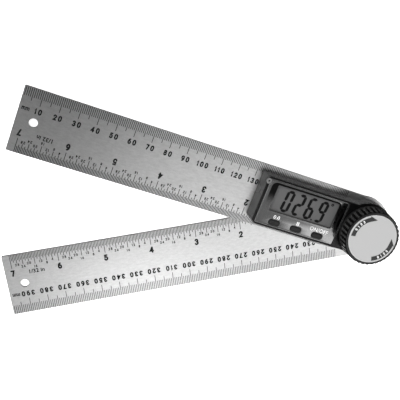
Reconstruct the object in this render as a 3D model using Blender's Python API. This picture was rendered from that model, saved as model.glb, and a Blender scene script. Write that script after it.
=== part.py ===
"""Digital angle finder: two steel rule arms on one pivot, a display head and a lock knob.

Metres, +Z up. The origin is on the pivot axis, on the underside of the lower arm.
The upper arm, which carries the display, lies along -X. Its millimetre edge faces +Y.
The lower arm swings under it about +Z and is drawn open by rest_angle.
"""
import math

import bmesh
import bpy
from mathutils import Matrix

MM = 0.001

# Clearances
seat_gap = 0.2 * MM
run_gap = 0.3 * MM
overrun = 1.0 * MM

# Arms
arm_length = 200 * MM
blade_width = 35.3 * MM
blade_thickness = 1.2 * MM
blade_corner = 0.6 * MM
hang_hole_radius = 2.3 * MM
hang_hole_inset = 9.3 * MM
rest_angle = math.radians(27.35)

# Display head, measured from the pivot axis
head_length = 66.7 * MM
head_top_edge = 13.95 * MM
head_bottom_edge = 17.2 * MM
head_corner_cut_x = 6.2 * MM
head_corner_cut_y = 4.8 * MM
head_top_cut_x = 2.1 * MM
head_top_cut_y = 1.7 * MM
head_left_lean = 1.7 * MM
head_top_lean = 0.65 * MM
head_bottom_lean = 2.6 * MM
head_corner_radius = 1.4 * MM
head_edge_bevel = 0.4 * MM
head_wall = 1.4 * MM
hub_radius = 16.35 * MM
hub_wall = 1.75 * MM
hub_blend_length = 12 * MM

# Heights of the pieces stacked in the head, from the back to the front
cover_thickness = 0.8 * MM
cell_height = 3.2 * MM
contact_thickness = 0.2 * MM
board_thickness = 0.6 * MM
mat_thickness = 0.3 * MM
button_travel = 0.4 * MM
button_flange_thickness = 0.3 * MM
roof_thickness = 0.9 * MM
panel_thickness = 1.0 * MM
lcd_thickness = 1.1 * MM

# Front panel, glossy, with its window
panel_end_inset = 3.0 * MM
panel_right = 15.0 * MM
panel_top = 12.6 * MM
panel_bottom = 13.9 * MM
panel_corner = 0.8 * MM
panel_edge_bevel = 0.35 * MM
window_end_inset = 5.7 * MM
window_hub_inset = 5.0 * MM
window_top = 10.15 * MM
window_bottom = 4.65 * MM
window_corner = 0.8 * MM

# Round stud at the panel's far corner
stud_inset_x = 0.5 * MM
stud_inset_y = 1.85 * MM
stud_radius = 1.7 * MM
stud_hole_radius = 0.45 * MM
stud_rise = 0.15 * MM

# Display glass, its frame and its contact strip
lcd_margin = 1.2 * MM
lcd_frame_wall = 1.0 * MM
strip_width = 1.4 * MM
strip_end_margin = 1.6 * MM
chip_width = 7.0 * MM
chip_height = 0.8 * MM

# Buttons
button_pitch_share = 0.3487
button_length = 6.2 * MM
button_width = 2.9 * MM
button_corner = 1.1 * MM
button_row_y = 10.95 * MM
button_rise = 0.7 * MM
button_lip = 0.6 * MM
mat_margin = 0.9 * MM

# Circuit board with its sensing ring round the pivot
board_margin = 0.3 * MM
board_neck_width = 13 * MM
board_ring_radius = 13.4 * MM
board_ring_bore = 7.2 * MM

# Coin cell, its tray, contacts and cover
cell_radius = 10 * MM
cell_edge = 0.3 * MM
cell_centre_y = 0.5 * MM
tray_wall = 1.0 * MM
tray_rim = 0.7 * MM
tray_ledge = 0.6 * MM
tray_plate = 1.0 * MM
tray_flange = 0.8 * MM
tray_corner = 1.5 * MM
tray_post_height = 2.1 * MM
tray_ring_height = 2.0 * MM
tray_end_gap = 0.5 * MM
cover_screw_land = 0.5 * MM
positive_contact_width = 4.0 * MM
positive_contact_sheet = 0.3 * MM
positive_contact_foot = 2.7 * MM
negative_contact_length = 11 * MM
negative_contact_width = 4.0 * MM

# Countersunk screws, in the head and in the battery cover
head_screw_shank = 1.0 * MM
head_screw_head = 1.9 * MM
head_screw_sink = 0.9 * MM
head_screw_length = 5.8 * MM
head_screw_land = 0.15 * MM
head_post_radius = 2.1 * MM
head_post_embed = 0.3 * MM
head_screw_end_inset = 4.9 * MM
head_screw_right = 15.0 * MM
head_screw_upper = 10.0 * MM
head_screw_lower = 10.5 * MM
cover_screw_shank = 0.7 * MM
cover_screw_head = 1.25 * MM
cover_screw_sink = 0.5 * MM
cover_screw_length = 3.0 * MM
cover_post_radius = 1.9 * MM
slot_width = 0.5 * MM
slot_depth_share = 0.45

# Pivot boss, turned, with its swaged foot and its threaded post
foot_radius = 5.8 * MM
foot_flare = 0.8 * MM
foot_flare_height = 0.5 * MM
foot_flat = 4.8 * MM
shoulder_radius = 7.0 * MM
neck_radius = 5.0 * MM
neck_flat = 4.2 * MM
groove_radius = 4.3 * MM
collar_height = 0.6 * MM
post_radius = 4.0 * MM
post_chamfer = 0.5 * MM

# Bush, encoder rotor and its clip
bush_wall = 1.7 * MM
bush_flange = 1.4 * MM
bush_flange_thickness = 0.6 * MM
rotor_radius = 12.5 * MM
rotor_thickness = 0.6 * MM
rotor_air_gap = 0.4 * MM
clip_radius = 6.6 * MM
clip_thickness = 0.5 * MM
clip_opening = math.radians(50)

# Thrust washer and wave spring
washer_radius = 12 * MM
washer_thickness = 0.6 * MM
washer_edge = 0.15 * MM
spring_inner = 6.0 * MM
spring_outer = 9.2 * MM
spring_height = 0.7 * MM
spring_sheet = 0.25 * MM
spring_pocket_depth = 0.9 * MM
spring_pocket_side = 0.4 * MM
spring_waves = 3

# Lock knob. Half a turn lifts it by half of thread_pitch.
thread_pitch = 1.0 * MM
unlock_turn = 0.5
knob_height = 12 * MM
knob_neck_radius = 14.9 * MM
knob_neck_height = 2.2 * MM
knob_band_radius = 16.0 * MM
knob_band_edge = 0.45 * MM
knob_radius = 15.65 * MM
knob_rim_radius = 14.95 * MM
knob_rim_height = 0.7 * MM
knob_wall = 1.75 * MM
knob_top_thickness = 1.2 * MM
knob_tube_wall = 1.4 * MM
rib_count = 36
rib_shares = (0.0, 0.48, 0.62, 0.86)
rib_depth_shares = (0.0, 0.0, 1.0, 1.0)
groove_depth = 0.65 * MM
groove_start = 4.6 * MM
groove_end = 0.7 * MM
groove_runout = 0.45 * MM
knob_rest_turn = math.radians(1.2)
label_radius = 13.9 * MM
label_thickness = 0.5 * MM
label_edge = 0.12 * MM
insert_radius = 7.0 * MM
insert_height = 6.3 * MM
insert_sides = 6
stop_screw_head = 5.4 * MM
stop_screw_head_height = 1.2 * MM
stop_screw_shank = 1.5 * MM
stop_screw_length = 6.0 * MM

# Steps round the curves, the share that counts as nothing, and the angle of a sharp edge
fine_steps = 60
round_steps = 32
small_steps = 20
corner_steps = 4
nothing_share = 1e-6
sharp_angle = math.radians(30)

# Heights worked out from the sizes above
lower_top = blade_thickness
upper_bottom = lower_top + run_gap
upper_top = upper_bottom + blade_thickness
head_base = upper_top + seat_gap
cover_top = upper_bottom + cover_thickness
cell_bottom = cover_top + seat_gap
cell_top = cell_bottom + cell_height
contact_bottom = cell_top + seat_gap
contact_top = contact_bottom + contact_thickness
board_bottom = contact_top + seat_gap
board_top = board_bottom + board_thickness
mat_bottom = board_top + seat_gap
mat_top = mat_bottom + mat_thickness
button_bottom = mat_top + button_travel + run_gap
button_flange_top = button_bottom + button_flange_thickness
roof_bottom = button_flange_top + seat_gap
roof_top = roof_bottom + roof_thickness
panel_base = roof_top + seat_gap
head_top = panel_base + panel_thickness
lcd_top = panel_base - seat_gap
lcd_bottom = lcd_top - lcd_thickness
rotor_top = board_bottom - rotor_air_gap
rotor_bottom = rotor_top - rotor_thickness
shoulder_top = rotor_bottom - seat_gap
clip_bottom = rotor_top + seat_gap
clip_top = clip_bottom + clip_thickness
collar_bottom = clip_top + seat_gap
collar_top = collar_bottom + collar_height
spring_floor = head_top - spring_pocket_depth
spring_bottom = spring_floor + seat_gap
washer_bottom = head_top + seat_gap
washer_top = washer_bottom + washer_thickness
knob_bottom = head_top + run_gap
knob_top = knob_bottom + knob_height
insert_bottom = washer_top + seat_gap
insert_top = insert_bottom + insert_height
knob_rise = thread_pitch * unlock_turn
stop_head_bottom = insert_top + knob_rise + run_gap
post_top = stop_head_bottom - seat_gap
label_bottom = knob_top - label_thickness
knob_ceiling = label_bottom - seat_gap - knob_top_thickness

# Places in plan worked out from the sizes above
panel_left = head_length - panel_end_inset
window_left = panel_left - window_end_inset
window_right = panel_right + window_hub_inset
button_pitch = (window_left - window_right) * button_pitch_share
head_screw_left = head_length - head_screw_end_inset
lcd_left = window_left + lcd_margin
lcd_right = window_right - lcd_margin
lcd_upper = window_top + lcd_margin
lcd_lower = window_bottom + lcd_margin
lcd_centre_x = -(lcd_left + lcd_right) / 2
head_screw_places = (
    (-head_screw_left, head_screw_upper),
    (-head_screw_left, -head_screw_lower),
    (-head_screw_right, head_screw_upper),
    (-head_screw_right, -head_screw_lower),
)
cavity_left = head_length - head_left_lean - head_wall
cavity_upper = head_top_edge - head_top_lean - head_wall + seat_gap
cavity_lower = head_bottom_edge - head_bottom_lean - head_wall + seat_gap
cell_x = -(head_screw_left + head_screw_right) / 2
cell_y = -cell_centre_y
cell_bore = cell_radius + run_gap
well_radius = cell_bore + tray_wall
tray_space = head_screw_left - head_screw_right - 2 * head_post_radius
tray_length = tray_space - 2 * (tray_end_gap + tray_flange + seat_gap)
cover_length = tray_length - 2 * (seat_gap + tray_rim)
cover_screw_offset = cover_length / 2 - cover_screw_land - cover_screw_head
cover_width = 2 * (cell_bore + tray_ledge)
tray_width = cover_width + 2 * (seat_gap + tray_rim)
cutout_width = tray_width + 2 * seat_gap
cutout_length = tray_length + 2 * seat_gap
bush_bore = shoulder_radius + run_gap
bush_radius = bush_bore + bush_wall
blade_bore = bush_radius + seat_gap


def material(name, color, roughness, metallic=0.0):
    """A plain Principled material."""
    result = bpy.data.materials.new(name)
    result.use_nodes = True
    shader = result.node_tree.nodes["Principled BSDF"]
    shader.inputs["Base Color"].default_value = (*color, 1.0)
    shader.inputs["Roughness"].default_value = roughness
    shader.inputs["Metallic"].default_value = metallic
    result.diffuse_color = (*color, 1.0)
    return result


def circle(radius, steps=round_steps, centre=(0.0, 0.0), start=0.0, end=2 * math.pi):
    """Points on a whole circle, or on an arc that keeps both of its ends."""
    whole = abs(end - start - 2 * math.pi) < nothing_share
    count = steps if whole else steps + 1
    points = []
    for i in range(count):
        angle = start + (end - start) * i / steps
        points.append((centre[0] + radius * math.cos(angle), centre[1] + radius * math.sin(angle)))
    return points


def rounded(corners, radius, steps=corner_steps):
    """The outline through some corners, each rounded by the same radius or by its own."""
    radii = radius if isinstance(radius, (tuple, list)) else [radius] * len(corners)
    points = []
    for i, (x, y) in enumerate(corners):
        before = corners[i - 1]
        after = corners[(i + 1) % len(corners)]
        a = math.atan2(before[1] - y, before[0] - x)
        b = math.atan2(after[1] - y, after[0] - x)
        half = abs((b - a + math.pi) % (2 * math.pi) - math.pi) / 2
        if radii[i] <= 0:
            points.append((x, y))
            continue
        reach = radii[i] / math.tan(half)
        middle = radii[i] / math.sin(half)
        bisector = math.atan2(math.sin(a) + math.sin(b), math.cos(a) + math.cos(b))
        centre = (x + middle * math.cos(bisector), y + middle * math.sin(bisector))
        first = (x + reach * math.cos(a), y + reach * math.sin(a))
        last = (x + reach * math.cos(b), y + reach * math.sin(b))
        start = math.atan2(first[1] - centre[1], first[0] - centre[0])
        sweep = math.atan2(last[1] - centre[1], last[0] - centre[0]) - start
        sweep = (sweep + math.pi) % (2 * math.pi) - math.pi
        points.extend(circle(radii[i], steps, centre, start, start + sweep))
    return points


def rectangle(left, right, lower, upper, radius=0.0):
    """A rectangle's outline, anticlockwise from its lower left corner."""
    corners = [(left, lower), (right, lower), (right, upper), (left, upper)]
    return rounded(corners, radius) if radius > 0 else corners


def centred(x, y, length, width, radius=0.0):
    """A rectangle's outline about a centre."""
    return rectangle(x - length / 2, x + length / 2, y - width / 2, y + width / 2, radius)


def inset(corners, distance):
    """A convex anticlockwise outline with every side moved inwards."""
    lines = []
    for i, (x, y) in enumerate(corners):
        dx = corners[(i + 1) % len(corners)][0] - x
        dy = corners[(i + 1) % len(corners)][1] - y
        length = math.hypot(dx, dy)
        lines.append((x - dy / length * distance, y + dx / length * distance, dx, dy))
    result = []
    for i, (x, y, dx, dy) in enumerate(lines):
        px, py, pdx, pdy = lines[i - 1]
        cross = dx * pdy - dy * pdx
        straight = abs(cross) < nothing_share * math.hypot(dx, dy) * math.hypot(pdx, pdy)
        share = 0.0 if straight else ((px - x) * pdy - (py - y) * pdx) / cross
        result.append((x + dx * share, y + dy * share))
    return result


def finish(name, mesh_data, look, parent=None, origin=(0.0, 0.0, 0.0)):
    """Puts a mesh in the scene, with its origin on the axis that it moves about."""
    bmesh.ops.recalc_face_normals(mesh_data, faces=mesh_data.faces)
    bmesh.ops.translate(mesh_data, verts=mesh_data.verts, vec=[-value for value in origin])
    mesh = bpy.data.meshes.new(name)
    mesh_data.to_mesh(mesh)
    mesh_data.free()
    mesh.shade_smooth()
    mesh.set_sharp_from_angle(angle=sharp_angle)
    if look is not None:
        mesh.materials.append(look)
    item = bpy.data.objects.new(name, mesh)
    item.location = origin
    bpy.context.scene.collection.objects.link(item)
    if parent is not None:
        item.parent = parent
    return item


def skin(levels, closed=False):
    """A closed solid through rings of points, each ring a list of points and a height."""
    solid = bmesh.new()
    rings = []
    for points, height in levels:
        rings.append([solid.verts.new((x, y, height)) for x, y in points])
    pairs = list(zip(rings, rings[1:]))
    if closed:
        pairs.append((rings[-1], rings[0]))
    for low, high in pairs:
        for i in range(len(low)):
            j = (i + 1) % len(low)
            solid.faces.new((low[i], low[j], high[j], high[i]))
    if not closed:
        solid.faces.new(rings[0][::-1])
        solid.faces.new(rings[-1])
    return solid


def prism(points, bottom, top):
    """An outline extruded upwards."""
    return skin([(points, bottom), (points, top)])


def turned(profile, closed=False, steps=round_steps, centre=(0.0, 0.0)):
    """A profile of radius and height turned about a vertical axis."""
    return skin([(circle(radius, steps, centre), height) for radius, height in profile], closed)


def cutter(name, mesh_data, parent=None):
    """A helper solid for a Boolean, which isn't a piece of the object."""
    item = finish(name, mesh_data, None, parent)
    item.hide_render = True
    item.display_type = "WIRE"
    return item


def combine(target, helper, operation="DIFFERENCE"):
    """Cuts a helper out of a piece, or adds it to the piece."""
    step = target.modifiers.new(helper.name, "BOOLEAN")
    step.operation = operation
    step.solver = "EXACT"
    step.object = helper


def empty(name, location, turn=0.0, parent=None):
    """An axis that moving pieces hang on."""
    item = bpy.data.objects.new(name, None)
    item.location = location
    item.rotation_euler = (0.0, 0.0, turn)
    bpy.context.scene.collection.objects.link(item)
    item.parent = parent
    return item


def double_d(radius, flat):
    """A circle with two flats, one above and one below its centre."""
    reach = math.asin(flat / radius)
    steps = round_steps // 4
    right = circle(radius, steps, start=-reach, end=reach)
    left = circle(radius, steps, start=math.pi - reach, end=math.pi + reach)
    return right + left


def blade_outline():
    """A rule arm: a square end at -X and a half-round end about the pivot."""
    half = blade_width / 2
    end = rounded([(-arm_length, half), (-arm_length, -half), (0.0, -half), (0.0, half)],
                  [blade_corner, blade_corner, 0.0, 0.0])
    nose = circle(half, fine_steps // 2, start=-math.pi / 2, end=math.pi / 2)
    return end[:-2] + nose


def hang_hole(parent=None):
    """The cutter for the hole near an arm's square end."""
    place = (hang_hole_inset - arm_length, 0.0)
    shape = prism(circle(hang_hole_radius, small_steps, place), -overrun, upper_top + overrun)
    return cutter("hang_hole_tool", shape, parent)


def countersunk_screw(shank, head, sink, length, land, slot):
    """A flat-headed screw whose head faces down, with its top face at height 0."""
    body = turned([(head, 0.0), (head, land), (shank, sink), (shank, length - shank),
                   (shank / 2, length)], steps=small_steps)
    slot_tool = prism(centred(0.0, 0.0, 2 * (head + overrun), slot), -overrun, sink * slot_depth_share)
    return body, slot_tool


# Materials
steel = material("satin_stainless_steel", (0.62, 0.62, 0.61), 0.32, 1.0)
bright_steel = material("bright_steel", (0.72, 0.72, 0.72), 0.25, 1.0)
brass = material("brass", (0.76, 0.60, 0.33), 0.3, 1.0)
black_abs = material("black_abs", (0.045, 0.045, 0.045), 0.42)
gloss_panel = material("gloss_panel", (0.10, 0.10, 0.10), 0.08)
knob_black = material("knob_black", (0.02, 0.02, 0.02), 0.35)
label_silver = material("label_silver", (0.62, 0.62, 0.62), 0.35)
lcd_grey = material("lcd_grey", (0.17, 0.18, 0.16), 0.3)
button_grey = material("button_grey", (0.07, 0.07, 0.07), 0.5)
white_plastic = material("white_plastic", (0.8, 0.8, 0.78), 0.5)
rubber_grey = material("rubber_grey", (0.22, 0.22, 0.22), 0.7)
board_green = material("board_green", (0.03, 0.16, 0.07), 0.4)
chip_black = material("chip_black", (0.015, 0.015, 0.015), 0.5)
bronze = material("sintered_bronze", (0.50, 0.33, 0.18), 0.45, 1.0)


def make_upper_blade():
    """The steel arm that carries the display, with the cut-out behind its head."""
    blade = finish("upper_blade", prism(blade_outline(), upper_bottom, upper_top), steel)
    combine(blade, hang_hole())
    cutout = centred(cell_x, cell_y, cutout_length, cutout_width, tray_corner + seat_gap)
    combine(blade, cutter("blade_cutout_tool", prism(cutout, upper_bottom - overrun, upper_top + overrun)))
    bore = prism(circle(blade_bore), upper_bottom - overrun, upper_top + overrun)
    combine(blade, cutter("blade_bore_tool", bore))
    hole = head_screw_shank + seat_gap
    wide = head_screw_head + seat_gap
    for index, (x, y) in enumerate(head_screw_places, 1):
        profile = [(wide, upper_bottom - overrun), (wide, upper_bottom + head_screw_land),
                   (hole, upper_bottom + head_screw_sink), (hole, upper_top + overrun)]
        sink = turned(profile, steps=small_steps, centre=(x, y))
        combine(blade, cutter(f"blade_screw_hole_tool_{index}", sink))


def make_lower_blade(axis):
    """The steel arm that swings underneath."""
    blade = finish("lower_blade", prism(blade_outline(), 0.0, lower_top), steel, axis)
    combine(blade, hang_hole(axis))
    hole = prism(double_d(foot_radius + seat_gap, foot_flat + seat_gap), -overrun, lower_top + overrun)
    combine(blade, cutter("boss_hole_tool", hole, axis))
    wide = foot_radius + foot_flare + seat_gap
    flare = turned([(wide, -overrun), (wide, 0.0), (foot_radius + seat_gap, foot_flare_height)])
    combine(blade, cutter("boss_flare_tool", flare, axis))


def head_corners(left_lean, top_lean, bottom_lean, cut_x, cut_y):
    """The head's outline, anticlockwise from its cut corner, without its round hub."""
    left = -head_length + left_lean
    upper = head_top_edge - top_lean
    lower = -head_bottom_edge + bottom_lean
    end = max(lower, -hub_radius + head_edge_bevel)
    return [(left, lower + cut_y), (left + cut_x, lower), (-hub_blend_length, lower),
            (0.0, end), (0.0, upper), (left, upper)]


def make_display_housing():
    """The moulded head: a box over the blade, run into a round hub, open at the back."""
    base = head_corners(0.0, 0.0, 0.0, head_corner_cut_x, head_corner_cut_y)
    top = head_corners(head_left_lean, head_top_lean, head_bottom_lean, head_top_cut_x, head_top_cut_y)
    radii = [head_corner_radius, head_corner_radius, 0.0, 0.0, 0.0, head_corner_radius]
    levels = [(rounded(base, radii), head_base), (rounded(top, radii), head_top - head_edge_bevel),
              (rounded(inset(top, head_edge_bevel), radii), head_top)]
    shell = finish("display_housing", skin(levels), black_abs)
    hub = turned([(hub_radius, head_base), (hub_radius, head_top - head_edge_bevel),
                  (hub_radius - head_edge_bevel, head_top)], steps=fine_steps)
    combine(shell, cutter("hub_tool", hub), "UNION")
    hollow = rectangle(-cavity_left, 0.0, -cavity_lower, cavity_upper, head_corner_radius)
    combine(shell, cutter("head_hollow_tool", prism(hollow, head_base - overrun, roof_bottom)))
    hub_inside = hub_radius - hub_wall
    round_hollow = prism(circle(hub_inside), head_base - overrun, roof_bottom)
    combine(shell, cutter("hub_hollow_tool", round_hollow))
    tray_top = cell_bottom + tray_plate
    plate_room = centred(cell_x, cell_y, cutout_length + 2 * (tray_flange + seat_gap),
                         tray_width + 2 * seat_gap)
    combine(shell, cutter("tray_room_tool", prism(plate_room, head_base - overrun, tray_top + seat_gap)))
    well_room = circle(well_radius + seat_gap, centre=(cell_x, cell_y))
    well_room_top = tray_top + tray_ring_height + seat_gap
    combine(shell, cutter("well_room_tool", prism(well_room, head_base - overrun, well_room_top)))
    for index, (x, y) in enumerate(head_screw_places, 1):
        post = prism(circle(head_post_radius, small_steps, (x, y)), head_base, roof_bottom + head_post_embed)
        combine(shell, cutter(f"screw_post_tool_{index}", post), "UNION")
    for index, (x, y) in enumerate(head_screw_places, 1):
        pilot = prism(circle(head_screw_shank + seat_gap, small_steps, (x, y)), head_base - overrun,
                      upper_bottom + head_screw_length + seat_gap)
        combine(shell, cutter(f"screw_pilot_tool_{index}", pilot))
    recess = rectangle(-panel_left - seat_gap, -panel_right + seat_gap, -panel_bottom - seat_gap,
                       panel_top + seat_gap, panel_corner + seat_gap)
    combine(shell, cutter("panel_recess_tool", prism(recess, roof_top, head_top + overrun)))
    stud_x = -panel_left - stud_inset_x
    stud_y = panel_top - stud_inset_y
    stud = prism(circle(stud_radius, small_steps, (stud_x, stud_y)), roof_bottom + head_post_embed,
                 head_top + stud_rise)
    combine(shell, cutter("stud_tool", stud), "UNION")
    stud_hole = prism(circle(stud_hole_radius, small_steps, (stud_x, stud_y)), roof_top,
                      head_top + stud_rise + overrun)
    combine(shell, cutter("stud_hole_tool", stud_hole))
    glass_hole = rectangle(-lcd_left - seat_gap, -lcd_right + seat_gap, -lcd_lower - seat_gap,
                           lcd_upper + seat_gap)
    combine(shell, cutter("glass_hole_tool", prism(glass_hole, roof_bottom - overrun, roof_top + overrun)))
    for index, x in enumerate(button_places(), 1):
        hole = centred(x, -button_row_y, button_length + 2 * seat_gap, button_width + 2 * seat_gap,
                       button_corner + seat_gap)
        tool = prism(hole, roof_bottom - overrun, roof_top + overrun)
        combine(shell, cutter(f"button_hole_tool_{index}", tool))
    bore = prism(circle(post_radius + run_gap), roof_bottom - overrun, head_top + overrun)
    combine(shell, cutter("roof_bore_tool", bore))
    inner = spring_inner - spring_pocket_side
    outer = spring_outer + spring_pocket_side
    pocket = turned([(inner, spring_floor), (outer, spring_floor), (outer, head_top + overrun),
                     (inner, head_top + overrun)], closed=True)
    combine(shell, cutter("spring_pocket_tool", pocket))


def button_places():
    """The X of each button, from the far end to the hub."""
    middle = lcd_centre_x
    return [middle - button_pitch, middle, middle + button_pitch]


def make_display_panel():
    """The glossy plate on the head's front, with its window and button holes."""
    corners = rectangle(-panel_left, -panel_right, -panel_bottom, panel_top)
    edge = inset(corners, panel_edge_bevel)
    levels = [(rounded(corners, panel_corner), panel_base),
              (rounded(corners, panel_corner), head_top - panel_edge_bevel),
              (rounded(edge, panel_corner), head_top)]
    panel = finish("display_panel", skin(levels), gloss_panel)
    window = rectangle(-window_left, -window_right, -window_bottom, window_top, window_corner)
    combine(panel, cutter("window_tool", prism(window, panel_base - overrun, head_top + overrun)))
    for index, x in enumerate(button_places(), 1):
        hole = centred(x, -button_row_y, button_length + 2 * seat_gap, button_width + 2 * seat_gap,
                       button_corner + seat_gap)
        tool = prism(hole, panel_base - overrun, head_top + overrun)
        combine(panel, cutter(f"panel_button_hole_tool_{index}", tool))
    stud = prism(circle(stud_radius + seat_gap, small_steps,
                        (-panel_left - stud_inset_x, panel_top - stud_inset_y)),
                 panel_base - overrun, head_top + overrun)
    combine(panel, cutter("panel_notch_tool", stud))


def make_display_module():
    """The display glass, the frame that holds it off the board and its contact strip."""
    glass = rectangle(-lcd_left, -lcd_right, -lcd_lower, lcd_upper)
    finish("lcd_glass", prism(glass, lcd_bottom, lcd_top), lcd_grey)
    frame_bottom = board_top + seat_gap
    frame_top = lcd_bottom - seat_gap
    frame = finish("lcd_frame", prism(glass, frame_bottom, frame_top), white_plastic)
    strip_top = lcd_upper - lcd_frame_wall - seat_gap
    strip_bottom = strip_top - strip_width
    strip_left = -lcd_left + strip_end_margin
    strip_right = -lcd_right - strip_end_margin
    slot = rectangle(strip_left - seat_gap, strip_right + seat_gap, strip_bottom - seat_gap,
                     strip_top + seat_gap)
    combine(frame, cutter("strip_slot_tool", prism(slot, frame_bottom - overrun, frame_top + overrun)))
    opening = rectangle(-lcd_left + lcd_frame_wall, -lcd_right - lcd_frame_wall,
                        -lcd_lower + lcd_frame_wall, strip_bottom - seat_gap - lcd_frame_wall)
    combine(frame, cutter("frame_opening_tool", prism(opening, frame_bottom - overrun, frame_top + overrun)))
    strip = rectangle(strip_left, strip_right, strip_bottom, strip_top)
    finish("contact_strip", prism(strip, frame_bottom, frame_top), rubber_grey)
    chip = centred(lcd_centre_x, (strip_bottom - lcd_lower) / 2, chip_width, chip_width)
    finish("controller_chip", prism(chip, frame_bottom, frame_bottom + chip_height), chip_black)


def make_circuit_board():
    """The board under the display, with the sensing ring round the pivot."""
    left = -head_screw_left + head_post_radius + board_margin
    right = -head_screw_right - head_post_radius - board_margin
    plate = rectangle(left, right, -cavity_lower + board_margin, cavity_upper - board_margin)
    board = finish("circuit_board", prism(plate, board_bottom, board_top), board_green)
    neck = rectangle(right - board_margin, 0.0, -board_neck_width / 2, board_neck_width / 2)
    combine(board, cutter("board_neck_tool", prism(neck, board_bottom, board_top)), "UNION")
    ring = prism(circle(board_ring_radius), board_bottom, board_top)
    combine(board, cutter("board_ring_tool", ring), "UNION")
    bore = prism(circle(board_ring_bore), board_bottom - overrun, board_top + overrun)
    combine(board, cutter("board_bore_tool", bore))


def make_buttons():
    """Three push buttons and the rubber mat that they press."""
    names = ("zero_button", "hold_button", "power_button")
    for name, x in zip(names, button_places()):
        y = -button_row_y
        flange = centred(x, y, button_length + 2 * button_lip, button_width + 2 * button_lip, button_corner)
        cap = centred(x, y, button_length, button_width, button_corner)
        place = (x, y, button_bottom)
        button = finish(name, prism(flange, button_bottom, button_flange_top), button_grey, origin=place)
        stem = prism(cap, button_bottom, head_top + button_rise)
        combine(button, cutter(f"{name}_stem_tool", stem), "UNION")
    places = button_places()
    reach = button_length / 2 + button_lip + mat_margin
    half = button_width / 2 + button_lip
    mat = rectangle(places[0] - reach, places[-1] + reach, -button_row_y - half, -button_row_y + half)
    finish("key_mat", prism(mat, mat_bottom, mat_top), rubber_grey)


def make_battery_tray():
    """The tray in the blade's cut-out, flush with the blade's back, with the cell's well."""
    outline = centred(cell_x, cell_y, tray_length, tray_width, tray_corner)
    plate_bottom = cell_bottom
    plate_top = plate_bottom + tray_plate
    tray = finish("battery_tray", prism(outline, upper_bottom, plate_top), black_abs)
    flange = centred(cell_x, cell_y, cutout_length + 2 * tray_flange, tray_width - 2 * tray_corner)
    combine(tray, cutter("tray_flange_tool", prism(flange, head_base, plate_top)), "UNION")
    well = prism(circle(well_radius, centre=(cell_x, cell_y)), plate_bottom,
                 plate_top + tray_ring_height)
    combine(tray, cutter("tray_well_tool", well), "UNION")
    for index, side in enumerate((-1, 1), 1):
        x = cell_x + side * cover_screw_offset
        post = prism(circle(cover_post_radius, small_steps, (x, cell_y)), plate_bottom,
                     plate_top + tray_post_height)
        combine(tray, cutter(f"cover_post_tool_{index}", post), "UNION")
    recess = centred(cell_x, cell_y, cover_length + 2 * seat_gap, cover_width + 2 * seat_gap,
                     tray_corner - tray_rim)
    combine(tray, cutter("cover_recess_tool", prism(recess, upper_bottom - overrun, cover_top + seat_gap)))
    bore = prism(circle(cell_bore, centre=(cell_x, cell_y)), upper_bottom,
                 plate_top + tray_ring_height + overrun)
    combine(tray, cutter("cell_well_tool", bore))
    for index, side in enumerate((-1, 1), 1):
        x = cell_x + side * cover_screw_offset
        pilot = prism(circle(cover_screw_shank + seat_gap, small_steps, (x, cell_y)), upper_bottom,
                      plate_top + tray_post_height + overrun)
        combine(tray, cutter(f"cover_pilot_tool_{index}", pilot))
    gate_left = cell_x - well_radius - overrun
    gate = rectangle(gate_left, cell_x - cell_radius + seat_gap,
                     cell_y - positive_contact_width / 2 - seat_gap,
                     cell_y + positive_contact_width / 2 + seat_gap)
    gate_top = plate_top + tray_ring_height + overrun
    combine(tray, cutter("contact_gate_tool", prism(gate, plate_top, gate_top)))


def make_battery_cover():
    """The flush cover on the back and its two screws."""
    outline = centred(cell_x, cell_y, cover_length, cover_width, tray_corner - tray_rim - seat_gap)
    cover = finish("battery_cover", prism(outline, upper_bottom, cover_top), black_abs)
    wide = cover_screw_head + seat_gap
    hole = cover_screw_shank + seat_gap
    for index, side in enumerate((-1, 1), 1):
        x = cell_x + side * cover_screw_offset
        profile = [(wide, upper_bottom - overrun), (wide, upper_bottom + head_screw_land),
                   (hole, upper_bottom + cover_screw_sink), (hole, cover_top + overrun)]
        sink = turned(profile, steps=small_steps, centre=(x, cell_y))
        combine(cover, cutter(f"cover_sink_tool_{index}", sink))
        body, slot = countersunk_screw(cover_screw_shank, cover_screw_head, cover_screw_sink,
                                       cover_screw_length, head_screw_land, slot_width)
        place_screw(f"battery_cover_screw_{index}", body, slot, (x, cell_y))


def place_screw(name, body, slot, place):
    """Sets a slotted screw into the back of the head."""
    shift = Matrix.Translation((place[0], place[1], upper_bottom))
    body.transform(shift)
    slot.transform(shift)
    screw = finish(name, body, bright_steel)
    combine(screw, cutter(f"{name}_slot_tool", slot))


def make_head_screws():
    """Four countersunk screws that hold the head on the blade."""
    for index, place in enumerate(head_screw_places, 1):
        body, slot = countersunk_screw(head_screw_shank, head_screw_head, head_screw_sink,
                                       head_screw_length, head_screw_land, slot_width)
        place_screw(f"head_screw_{index}", body, slot, place)


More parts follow.
